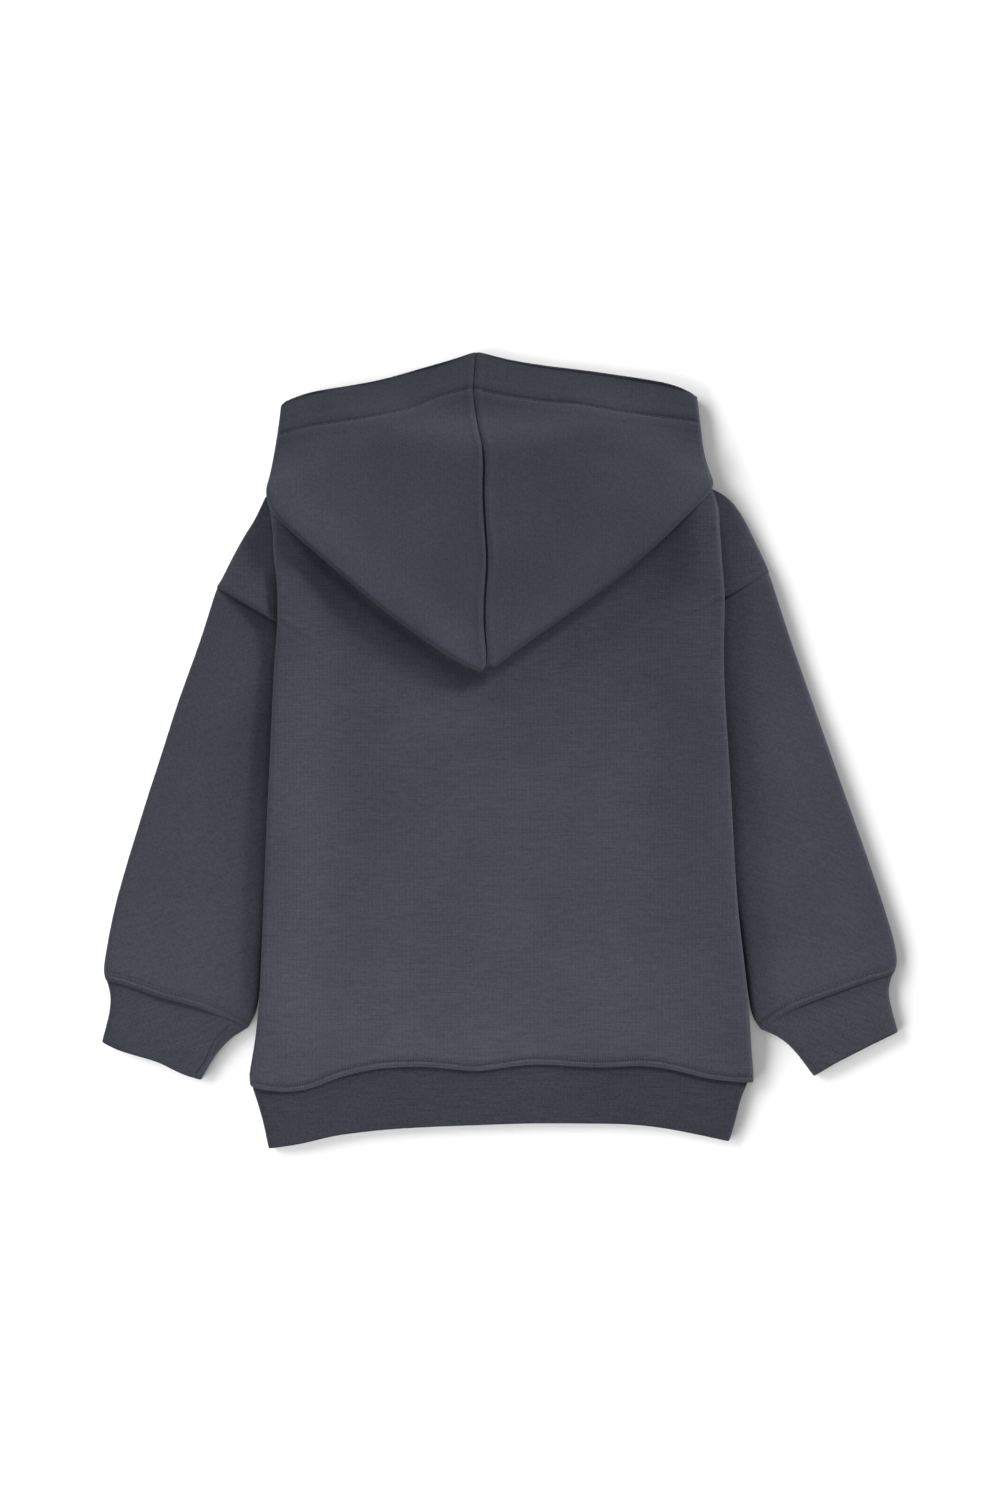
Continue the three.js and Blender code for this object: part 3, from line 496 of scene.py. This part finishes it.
def tree_of(obj):
    bpy.context.view_layer.update()
    return BVHTree.FromObject(obj, bpy.context.evaluated_depsgraph_get())


def pull_to(obj, other, line, gap_at):
    tree = tree_of(other)
    places, _ = read(obj)
    beside = np.flatnonzero(np.abs(from_line(places[:, :2], line)) < PULL_REACH + 1)
    wanted = gap_at(places[beside])
    for i, gap in zip(beside, wanted):
        hit, _, _, far = tree.find_nearest(Vector(places[i] * MM), PULL_REACH * MM)
        if hit is None:
            continue
        way = np.array(hit) / MM - places[i]
        way[2] = 0
        length = np.hypot(way[0], way[1])
        if length < IN_PLACE:
            continue
        ease = (PULL_REACH - far / MM) / (PULL_REACH - ROUNDED_GAP)
        places[i] += way / length * (ROUNDED_GAP - gap) / 2 * min(max(ease, 0), 1) ** 2
    return places


def close(first, second, line, gap_at):
    a, b = shells[first], shells[second]
    moved_a = pull_to(a, b, line, gap_at)
    moved_b = pull_to(b, a, line, gap_at)
    write(a, moved_a)
    write(b, moved_b)


# %% Close every seam
PRESSED_IN = -0.25
HOOD_PRESSED_IN = -0.6  # the hood's under layer, so that no light comes through the open seam
# How wide the hood's centre seam stands open on the upper layer, for a place (y) along it.
HOOD_SEAM_OPENING = [
    (45, 0.3), (60, 0.9), (82, 1.7), (110, 2.0), (150, 1.7), (185, 2.1), (203, 1.5), (220, 0.8), (240, 0.6),
    (248, 0.1),
]
# The height that parts the upper layer from the under layer, for a place (y) along the seam.
UPPER_LAYER = [(192, 10.2), (196, 10.3), (200, 9.3), (204, 8.3), (208, 7.1), (212, 6.1), (216, 5.5), (240, 5.1)]
LAYER_BLEND = 0.6


def shut(places):
    return np.full(len(places), PRESSED_IN)


def hood_opening(places):
    opening = np.interp(places[:, 1], *zip(*HOOD_SEAM_OPENING))
    between_layers = np.interp(places[:, 1], *zip(*UPPER_LAYER))
    upper = rise(places[:, 2] - between_layers, -LAYER_BLEND, LAYER_BLEND)
    return upper * opening + (1 - upper) * HOOD_PRESSED_IN


close("hood_left", "hood_right", hood_seam, hood_opening)
close("back", "hem_band", hem_line, shut)
close("front", "hem_band", hem_line, shut)
for side in ("left", "right"):
    close("back", "sleeve_" + side, armhole[side], shut)
    close("sleeve_" + side, "cuff_" + side, cuff_seam[side], shut)
print("seams closed")

# %% [markdown]
# ## The back
# The back is the largest panel. It lies almost flat, with long shallow waves, and stands up in a rolled lip
# where the hem band is sewn on. The hood's folded edge weighs it down, more on the left. Its sides stand up
# over the sleeves, and at the left armhole its edge does too. The moves are small, so tables give them: a
# ridge's height, its distance from a line and its width, or where a soft step starts and ends.

# %% Sag the back beside the hood, and raise its sides
SAG_BESIDE_HOOD = {
    "left": [(1.2, 0.5, 7), (0.8, 1, 18), (0.7, 3, 48)],
    "right": [(1.0, 1, 12), (1.0, 3, 48)],
}
SAG_INSIDE = (12, 34)  # from the side folds inwards
SHOULDER_EDGE = 1.3  # rise of the back's edge at the left armhole
SHOULDER_EDGE_MORE = 2.4  # and its further rise towards the body
SHOULDER_X = (-180, -148)
SHOULDER_OUTSIDE = (-2, 7)  # from the side fold outwards
SHOULDER_WIDTH = 34
SIDES_STAND = 2.4
SIDES_FROM_Y = (-212, -170)
SIDES_UNTIL_Y = (20, 66)
SIDES_INSIDE = (4, 42)  # from the side folds inwards
ABOVE_SLEEVE = (4, 6)  # the height from which the cloth belongs to the raised side


def back_sag(places):
    plan = places[:, :2]
    left_of_body = from_line(plan, body_fold["left"])
    outside = np.maximum(left_of_body, -from_line(plan, body_fold["right"]))
    beside_left = relief(-from_line(plan, hood_fold["left"]), SAG_BESIDE_HOOD["left"])
    beside_right = relief(from_line(plan, hood_fold["right"]), SAG_BESIDE_HOOD["right"])
    sag = rise(-outside, *SAG_INSIDE) * np.maximum(beside_left, beside_right)
    from_armhole = from_line(plan, armhole["left"])
    shoulder_edge = rise(left_of_body, *SHOULDER_OUTSIDE) * bump(from_armhole - 1, SHOULDER_WIDTH)
    shoulder_rise = SHOULDER_EDGE + SHOULDER_EDGE_MORE * rise(plan[:, 0], *SHOULDER_X)
    lower_sides = rise(plan[:, 1], *SIDES_FROM_Y) * (1 - rise(plan[:, 1], *SIDES_UNTIL_Y))
    near_fold = 1 - rise(np.abs(outside), *SIDES_INSIDE)
    side_stands = lower_sides * near_fold * rise(places[:, 2], *ABOVE_SLEEVE)
    return shoulder_rise * shoulder_edge + SIDES_STAND * side_stands - sag


lift(shells["back"], back_sag)

# %% Press the back's lip, edges and waves
HEM_LIP = [(0.5, 1.3, 2.2), (-0.35, 4.3, 1.8)]  # a rolled lip, and the furrow of the stitches above it
BACK_EDGE = {"left": [(0.3, 3, 4)], "right": [(0.25, 2, 3)]}
LONG_WAVES = {"seed": 3, "length": 120, "stretch": (1, 1.6)}
SHORT_WAVES = {"seed": 4, "length": 38}
LONG_WAVE_HEIGHT = 0.55
SHORT_WAVE_HEIGHT = 0.16
HEM_CALM = 4  # no waves this near the hem
HEM_CALM_FADES = 30


def back_heights(places):
    plan = places[:, :2]
    above_hem = from_line(plan, hem_line)
    lie = LONG_WAVE_HEIGHT * waves(plan, **LONG_WAVES) + SHORT_WAVE_HEIGHT * waves(plan, **SHORT_WAVES)
    calm = np.clip((above_hem - HEM_CALM) / HEM_CALM_FADES, 0, 1)
    edge = sum(relief(from_line(plan, armhole[side]), ridges) for side, ridges in BACK_EDGE.items())
    return relief(above_hem, HEM_LIP) + lie * calm + edge


press(shells["back"], back_heights)

# %% [markdown]
# ## The hood
# The hood's halves meet in a centre seam whose edges are pressed open, so that each stands up a little beside
# the groove. A casing is turned in round the face opening and stitched down, which leaves a furrow, and
# beyond it the edge dips. The folded lower edge stands off the back, more on the left.

# %% Lift the hood's folded edge
EDGE_STANDS_OFF = {"left": 1.5, "right": 0.7}
EDGE_WIDTH = 30


def hood_stand(side):
    def stand(places):
        return EDGE_STANDS_OFF[side] * bump(from_line(places[:, :2], hood_fold[side]), EDGE_WIDTH)

    return stand


for side in ("left", "right"):
    lift(shells["hood_" + side], hood_stand(side))

# %% Press the hood's seam, casing and waves
HOOD_SEAM_EDGE = [(0.45, 3.4, 3)]
CASING_FURROW = [(-0.32, 0, 1.8), (0.12, 4.5, 3.5)]
CASING_DIPS = (0, 24)  # one millimetre down, from the stitches to the face opening
HOOD_WAVES = {"left": {"seed": 11, "length": 90}, "right": {"seed": 12, "length": 90}}
HOOD_WAVE_HEIGHT = 0.35
HOOD_UPPER_FROM = 4.2  # the height where the upper layer begins
HOOD_UPPER_OVER = 1.5


def hood_heights(side):
    def heights(places):
        plan = places[:, :2]
        from_casing = from_line(plan, hood_casing[side])
        upper = np.clip((places[:, 2] - HOOD_UPPER_FROM) / HOOD_UPPER_OVER, 0, 1)
        seam = relief(np.abs(from_line(plan, hood_seam)), HOOD_SEAM_EDGE)
        furrow = relief(np.abs(from_casing), CASING_FURROW)
        turned_down = -rise(from_casing * (1 if side == "right" else -1), *CASING_DIPS)
        lie = HOOD_WAVE_HEIGHT * waves(plan, **HOOD_WAVES[side])
        return (seam + furrow + turned_down + lie) * upper

    return heights


for side in ("left", "right"):
    press(shells["hood_" + side], hood_heights(side))

# %% [markdown]
# ## Sleeves, cuffs and hem band
# A sleeve sinks beside the body, where it goes in under the side fold, and deepest below the left armhole. It
# is set to a narrower cuff, so it ends in a lip. The cuffs and the band are sewn double and lie firm. The
# left cuff shows its own closing seam.

# %% Sink the sleeves beside the body
SLEEVE_UPPER = (2.5, 4.0)  # the height where the upper layer begins
BESIDE_BODY_SINKS = 1.7
BESIDE_BODY = (-4, 24)  # from the side fold outwards
WEDGE_DOWN = (2, 26)  # below the left armhole, where the sleeve sinks a millimetre more
WEDGE_OUT = (4, 34)  # and how far out from the body
CORNER_SINKS = 1.2
CORNER_AT = (-172, -172)  # where the left sleeve's inner edge meets its cuff
CORNER_WIDTH = 17
SINKS_AT_MOST = 1.95


def sleeve_sag(side):
    def sag(places):
        plan = places[:, :2]
        outside = from_line(plan, body_fold[side]) * (1 if side == "left" else -1)
        sunk = BESIDE_BODY_SINKS * (1 - rise(outside, *BESIDE_BODY))
        if side == "left":
            below_armhole = -from_line(plan, armhole[side])
            sunk += (1 - rise(below_armhole, *WEDGE_DOWN)) * (1 - rise(outside, *WEDGE_OUT))
            from_corner = np.hypot(*(plan - CORNER_AT).T)
            sunk += CORNER_SINKS * bump(from_corner, CORNER_WIDTH)
        return -rise(places[:, 2], *SLEEVE_UPPER) * np.clip(sunk, 0, SINKS_AT_MOST)

    return sag


for side in ("left", "right"):
    lift(shells["sleeve_" + side], sleeve_sag(side))

# %% Press the sleeves' lips and waves
CUFF_LIP = [(0.55, 1.6, 2.5), (-0.2, 5, 2.0)]
SET_IN_FURROW = [(-0.5, 0, 3)]
SLEEVE_WAVES = {
    "left": {"seed": 21, "length": 70, "stretch": (1, 2), "turn": -18},
    "right": {"seed": 22, "length": 70, "stretch": (1, 2), "turn": 18},
}
SLEEVE_WAVE_HEIGHT = 0.5
CUFF_CALM_FADES = 25


def sleeve_heights(side):
    def heights(places):
        plan = places[:, :2]
        from_cuff = np.abs(from_line(plan, cuff_seam[side]))
        set_in = relief(from_line(plan, armhole[side]), SET_IN_FURROW)
        lie = SLEEVE_WAVE_HEIGHT * waves(plan, **SLEEVE_WAVES[side])
        return relief(from_cuff, CUFF_LIP) + set_in + lie * np.clip(from_cuff / CUFF_CALM_FADES, 0, 1)

    return heights


for side in ("left", "right"):
    press(shells["sleeve_" + side], sleeve_heights(side))

# %% Press the cuffs and the hem band
RIB_WAVE_HEIGHT = 0.12
RIB_FURROW = [(-0.3, 0, 3)]
CUFF_OWN_SEAM = [(-0.7, 0, 1.2), (-0.4, 3.4, 1.3)]
CUFF_WAVES = {"seed": 31, "length": 40}
BAND_WAVES = {"seed": 32, "length": 40}


def cuff_heights(side):
    def heights(places):
        plan = places[:, :2]
        own_seam = relief(from_line(plan, cuff_closing), CUFF_OWN_SEAM) if side == "left" else 0
        furrow = relief(from_line(plan, cuff_seam[side]), RIB_FURROW)
        return own_seam + RIB_WAVE_HEIGHT * waves(plan, **CUFF_WAVES) + furrow

    return heights


def band_heights(places):
    plan = places[:, :2]
    return RIB_WAVE_HEIGHT * waves(plan, **BAND_WAVES) + relief(from_line(plan, hem_line), RIB_FURROW)


refine(shells["cuff_left"], cuff_closing, reach=4, cuts=3)
for side in ("left", "right"):
    press(shells["cuff_" + side], cuff_heights(side))
press(shells["hem_band"], band_heights)
for obj in shells.values():
    for face in obj.data.polygons:
        face.use_smooth = True

# %% [markdown]
# ## Stitches
# The stitches that show are short threads lying on the cloth: a line along the hood's casing, and above each
# band a row whose stitches lie across it. Each is a bead with pointed ends, laid on the shell below it by a
# ray cast from above. A bump in the material would be quicker, but the threads would be flat from the side.

# %% Shape one stitch
STITCH_SIDES = 6
STITCH_RINGS = [(-0.5, 0.25), (-0.35, 0.8), (0, 1), (0.35, 0.8), (0.5, 0.25)]  # share of length, fullness


def stitch_rings(length, radius):
    """A stitch as rings of points about the X axis: pointed ends and a full middle."""
    turns = np.linspace(0, 2 * np.pi, STITCH_SIDES, endpoint=False)
    rings = []
    for share, fullness in STITCH_RINGS:
        ring = np.column_stack([np.full(STITCH_SIDES, share * length), np.cos(turns), np.sin(turns)])
        ring[:, 1:] *= radius * fullness
        rings.append(ring)
    return np.vstack(rings)


def stitch_faces(base):
    """The faces of the stitch whose points start at that number."""
    faces = []
    for ring in range(len(STITCH_RINGS) - 1):
        for k in range(STITCH_SIDES):
            a = base + ring * STITCH_SIDES + k
            b = base + ring * STITCH_SIDES + (k + 1) % STITCH_SIDES
            faces.append((a, a + STITCH_SIDES, b + STITCH_SIDES, b))
    last = base + len(STITCH_RINGS) * STITCH_SIDES - 1
    return [*faces, tuple(range(base, base + STITCH_SIDES)), tuple(range(last, last - STITCH_SIDES, -1))]


# %% Sew a row of stitches
ABOVE_ALL = 0.1  # metres


def sew(name, line, shell, length, gap, radius, across):
    """Lay stitches along a line, or across it, on the shell below them."""
    shape = stitch_rings(length, radius)
    tree = tree_of(shell)
    points, faces = [], []
    run = run_along(line)
    pitch = 2 * radius + gap if across else length + gap
    for centre in np.arange(pitch, run[-1] - pitch, pitch):
        here, ahead = ([np.interp(centre + s, run, line[:, k]) for k in (0, 1)] for s in (0, 0.5))
        way = np.array(ahead) - here
        way /= np.linalg.norm(way)
        if across:
            way = np.array([-way[1], way[0]])
        ends = [here - way * length / 2, here + way * length / 2]
        hits = [tree.ray_cast(Vector((x * MM, y * MM, ABOVE_ALL)), Vector((0, 0, -1)))[0] for x, y in ends]
        if any(hit is None for hit in hits):
            continue
        start, end = (np.array([*xy, hit.z / MM]) for xy, hit in zip(ends, hits))
        forward = (end - start) / np.linalg.norm(end - start)
        side = np.cross([0, 0, 1], forward)
        side /= np.linalg.norm(side)
        faces.extend(stitch_faces(len(points)))
        points.extend(((start + end) / 2 + shape @ np.vstack([forward, side, np.cross(forward, side)])) * MM)
    mesh = bpy.data.meshes.new(name)
    mesh.from_pydata([tuple(p) for p in points], [], faces)
    for face in mesh.polygons:
        face.use_smooth = True
    obj = bpy.data.objects.new(name, mesh)
    bpy.context.scene.collection.objects.link(obj)
    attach(obj, "root")
    print(name, "faces:", len(faces))
    return obj


# %% Sew the rows that show
HEM_STITCH = {"length": 2.3, "gap": 0.9, "radius": 0.36, "across": True}
CASING_STITCH = {"length": 2.2, "gap": 1.1, "radius": 0.24, "across": False}
CUFF_STITCH = {"length": 2.1, "gap": 1.0, "radius": 0.34, "across": True}
ABOVE_SEAM = 4.2  # where the rows above the hem band and the cuffs run
hem_row = offset_line(smooth_line(HEM_SEAM), ABOVE_SEAM)
stitches = {"back": sew("hem_stitches", hem_row, shells["back"], **HEM_STITCH)}
for side, upward in (("left", -1), ("right", 1)):
    hood, sleeve = "hood_" + side, "sleeve_" + side
    casing_row = smooth_line(HOOD_CASING[side])
    stitches[hood] = sew(f"casing_stitches_{side}", casing_row, shells[hood], **CASING_STITCH)
    cuff_row = offset_line(smooth_line(CUFF_SEAM[side]), ABOVE_SEAM * upward)
    stitches[sleeve] = sew(f"cuff_stitches_{side}", cuff_row, shells[sleeve], **CUFF_STITCH)

# %% [markdown]
# ## Fleece and rib
# Brushed-back cotton fleece shows its smooth knitted face: a plain jersey, piece-dyed slate grey. Its loops
# are finer than a millimetre, in level courses and upright wales, and the yarn is a little uneven, so the
# face has faint level streaks. Loose fibres stand out of it and catch light that skims an edge. The cuffs and
# the band are a fine rib in the same dye, whose ribs are too close to show. A photograph of cloth could be
# wrapped on the shells, but noise drawn in millimetres has no seams and keeps its size on every panel.

# %% Small helpers for materials
def linear(hex_colour):
    channels = [int(hex_colour[i:i + 2], 16) / 255 for i in (1, 3, 5)]
    return [c / 12.92 if c <= 0.04045 else ((c + 0.055) / 1.055) ** 2.4 for c in channels] + [1]


def add_node(tree, kind, settings=None, links=None):
    """A node with its own settings, the values of its sockets by name or number, and what feeds them."""
    node = tree.nodes.new(kind)
    for name, value in (settings or {}).items():
        if isinstance(name, str) and name not in node.inputs:
            setattr(node, name, value)
        else:
            node.inputs[name].default_value = value
    for name, source in (links or {}).items():
        tree.links.new(source, node.inputs[name])
    return node


def new_material(name):
    material = bpy.data.materials.new(name)
    material.use_nodes = True
    material.node_tree.nodes.clear()
    return material, material.node_tree


# %% Sizes in the knit
COURSE_MM = 0.75  # real courses lie 0.5 to 0.7 mm apart, too fine to show, so these are a little coarser
STREAK_MM = 11  # how far along a course the yarn keeps its thickness
DEPTH_MM = 5  # how far up a cut edge the streaks reach
WALE_MM = 2.4  # every third or fourth wale, where the brushed yarn is tied in
PILE_MM = 1.7  # clumps of fibre
CLOUDS_A_MM = 0.018  # slow drift of the dye, in clouds some 55 mm wide
WAVE_PERIOD = 2 * np.pi / 20  # the wave texture's own period at scale 1
MOST_NOISE = {"From Min": 0.35, "From Max": 0.65}  # the range in which nearly all of a noise lies
DYE_DRIFT = {"From Min": 0.3, "From Max": 0.7, "To Min": 0.93, "To Max": 1.07}
KNIT_RELIEF_MM = 0.3


# %% Knitted fleece: courses, wales and pile
def knit_pattern(tree, turn, course, wale):
    """The knit as one grey value, turned to the panel's grain, and the slow drift of its dye."""
    place = add_node(tree, "ShaderNodeTexCoord")
    lay = add_node(tree, "ShaderNodeMapping", {
        "Scale": (1 / MM, 1 / MM, 1 / MM), "Rotation": (0, 0, np.radians(turn))}, {
        "Vector": place.outputs["Object"]})
    courses_at = add_node(tree, "ShaderNodeMapping", {
        "Scale": (1 / STREAK_MM, 1 / COURSE_MM, 1 / DEPTH_MM)}, {"Vector": lay.outputs[0]})
    courses = add_node(tree, "ShaderNodeTexNoise", {"Scale": 1, "Detail": 1}, {"Vector": courses_at.outputs[0]})
    wales = add_node(tree, "ShaderNodeTexWave", {
        "bands_direction": "X", "Scale": WAVE_PERIOD / WALE_MM, "Distortion": 1.4, "Detail": 1.5,
        "Detail Scale": 0.6}, {"Vector": lay.outputs[0]})
    pile = add_node(tree, "ShaderNodeTexNoise", {
        "Scale": 1 / PILE_MM, "Detail": 3, "Roughness": 0.65}, {"Vector": lay.outputs[0]})
    cloud = add_node(tree, "ShaderNodeTexNoise", {"Scale": CLOUDS_A_MM, "Detail": 3}, {
        "Vector": lay.outputs[0]})
    knit = add_node(tree, "ShaderNodeMix", {"data_type": "FLOAT", 0: course}, {
        2: pile.outputs["Fac"], 3: courses.outputs["Fac"]})
    grain = add_node(tree, "ShaderNodeMix", {"data_type": "FLOAT", 0: wale}, {
        2: knit.outputs[0], 3: wales.outputs["Fac"]})
    return grain.outputs[0], cloud.outputs["Fac"]


# %% Knitted fleece: dye and surface
def knitted_fleece(name, colour, course, wale, uneven, turn=0.0):
    """Matt, because loose fibres scatter the light, with a faint bloom at edges, which the sheen gives."""
    material, tree = new_material(name)
    grain, cloud = knit_pattern(tree, turn, course, wale)
    shade = add_node(tree, "ShaderNodeMapRange", {
        **MOST_NOISE, "To Min": 1 - uneven, "To Max": 1 + uneven}, {"Value": grain})
    drift = add_node(tree, "ShaderNodeMapRange", DYE_DRIFT, {"Value": cloud})
    both = add_node(tree, "ShaderNodeMath", {"operation": "MULTIPLY"}, {
        0: shade.outputs[0], 1: drift.outputs[0]})
    dyed = add_node(tree, "ShaderNodeMixRGB", {"blend_type": "MULTIPLY", "Fac": 1, "Color1": linear(colour)}, {
        "Color2": both.outputs[0]})
    raised = add_node(tree, "ShaderNodeBump", {"Strength": 0.6, "Distance": KNIT_RELIEF_MM * MM}, {
        "Height": grain})
    shader = add_node(tree, "ShaderNodeBsdfPrincipled", {
        "Roughness": 0.93, "IOR": 1.5, "Specular IOR Level": 0.2, "Sheen Weight": 0.12, "Sheen Roughness": 0.4,
        "Sheen Tint": linear("#b9c0d2")}, {
        "Base Color": dyed.outputs[0], "Normal": raised.outputs[0]})
    add_node(tree, "ShaderNodeOutputMaterial", {}, {"Surface": shader.outputs[0]})
    return material


# %% Finish each panel
# course and wale are the shares of level streaks and upright ribs in the knit, and the rest is pile. uneven is
# how much lighter and darker the dye takes, and turn follows the grain of a panel that lies askew, in degrees.
# All the panels are one fleece, but their colours hold painted shade: the left sleeve and cuff are painted
# darker than the right ones, and the hood a little darker than the back. The band and the cuffs are darker
# than the rest.
FINISHES = {
    "front": {"colour": "#3b3c45", "course": 0.42, "wale": 0.06, "uneven": 0.21},
    "back": {"colour": "#3b3c45", "course": 0.42, "wale": 0.06, "uneven": 0.21},
    "hem_band": {"colour": "#2c2d35", "course": 0.35, "wale": 0.03, "uneven": 0.3},
    "sleeve_left": {"colour": "#3a3b44", "turn": -16, "course": 0.25, "wale": 0.02, "uneven": 0.19},
    "sleeve_right": {"colour": "#3c3d46", "turn": 16, "course": 0.25, "wale": 0.02, "uneven": 0.19},
    "cuff_left": {"colour": "#35373f", "turn": -22, "course": 0.35, "wale": 0.03, "uneven": 0.24},
    "cuff_right": {"colour": "#393a42", "turn": 22, "course": 0.35, "wale": 0.03, "uneven": 0.24},
    "hood_left": {"colour": "#383a43", "course": 0.08, "wale": 0.06, "uneven": 0.14},
    "hood_right": {"colour": "#383a42", "course": 0.08, "wale": 0.06, "uneven": 0.14},
}
for node, finish in FINISHES.items():
    shells[node].data.materials.append(knitted_fleece(f"knitted_fleece_{node}", **finish))
print("finishes:", len(FINISHES))

# %% [markdown]
# ## Thread
# The thread is spun polyester, smoother than the fleece, and it pulls the cloth in. It is given a colour
# darker than the fleece's, so its stitches show as fine dark ticks.

# %% Spun polyester thread
TWIST = 900  # the wave texture's scale that sets the twists 0.35 mm apart


def spun_polyester(name, colour):
    """A little gloss along each stitch, broken by the twist of the yarn."""
    material, tree = new_material(name)
    place = add_node(tree, "ShaderNodeTexCoord")
    twist = add_node(tree, "ShaderNodeTexWave", {"Scale": TWIST, "Distortion": 1}, {
        "Vector": place.outputs["Object"]})
    shade = add_node(tree, "ShaderNodeMapRange", {"To Min": 0.85, "To Max": 1.15}, {
        "Value": twist.outputs["Fac"]})
    dyed = add_node(tree, "ShaderNodeMixRGB", {"blend_type": "MULTIPLY", "Fac": 1, "Color1": linear(colour)}, {
        "Color2": shade.outputs[0]})
    shader = add_node(tree, "ShaderNodeBsdfPrincipled", {"Roughness": 0.6, "IOR": 1.54}, {
        "Base Color": dyed.outputs[0]})
    add_node(tree, "ShaderNodeOutputMaterial", {}, {"Surface": shader.outputs[0]})
    return material


thread = spun_polyester("spun_polyester_thread", "#26272d")
for node, obj in stitches.items():
    obj.data.materials.append(thread)
print("rows of stitches:", len(stitches))

# %% [markdown]
# ## The studio's floor
# A white surface with a matt coat of paint. It has hardly any gloss, so the lamps leave no patch on it and
# only the garment's shadow shows.

# %% Matt white paint
floor_paint, paint_tree = new_material("matt_white_floor")
paint = add_node(paint_tree, "ShaderNodeBsdfPrincipled", {
    "Base Color": linear("#f7f7f7"), "Roughness": 0.9, "Specular IOR Level": 0.1})
add_node(paint_tree, "ShaderNodeOutputMaterial", {}, {"Surface": paint.outputs[0]})
floor.data.materials.append(floor_paint)
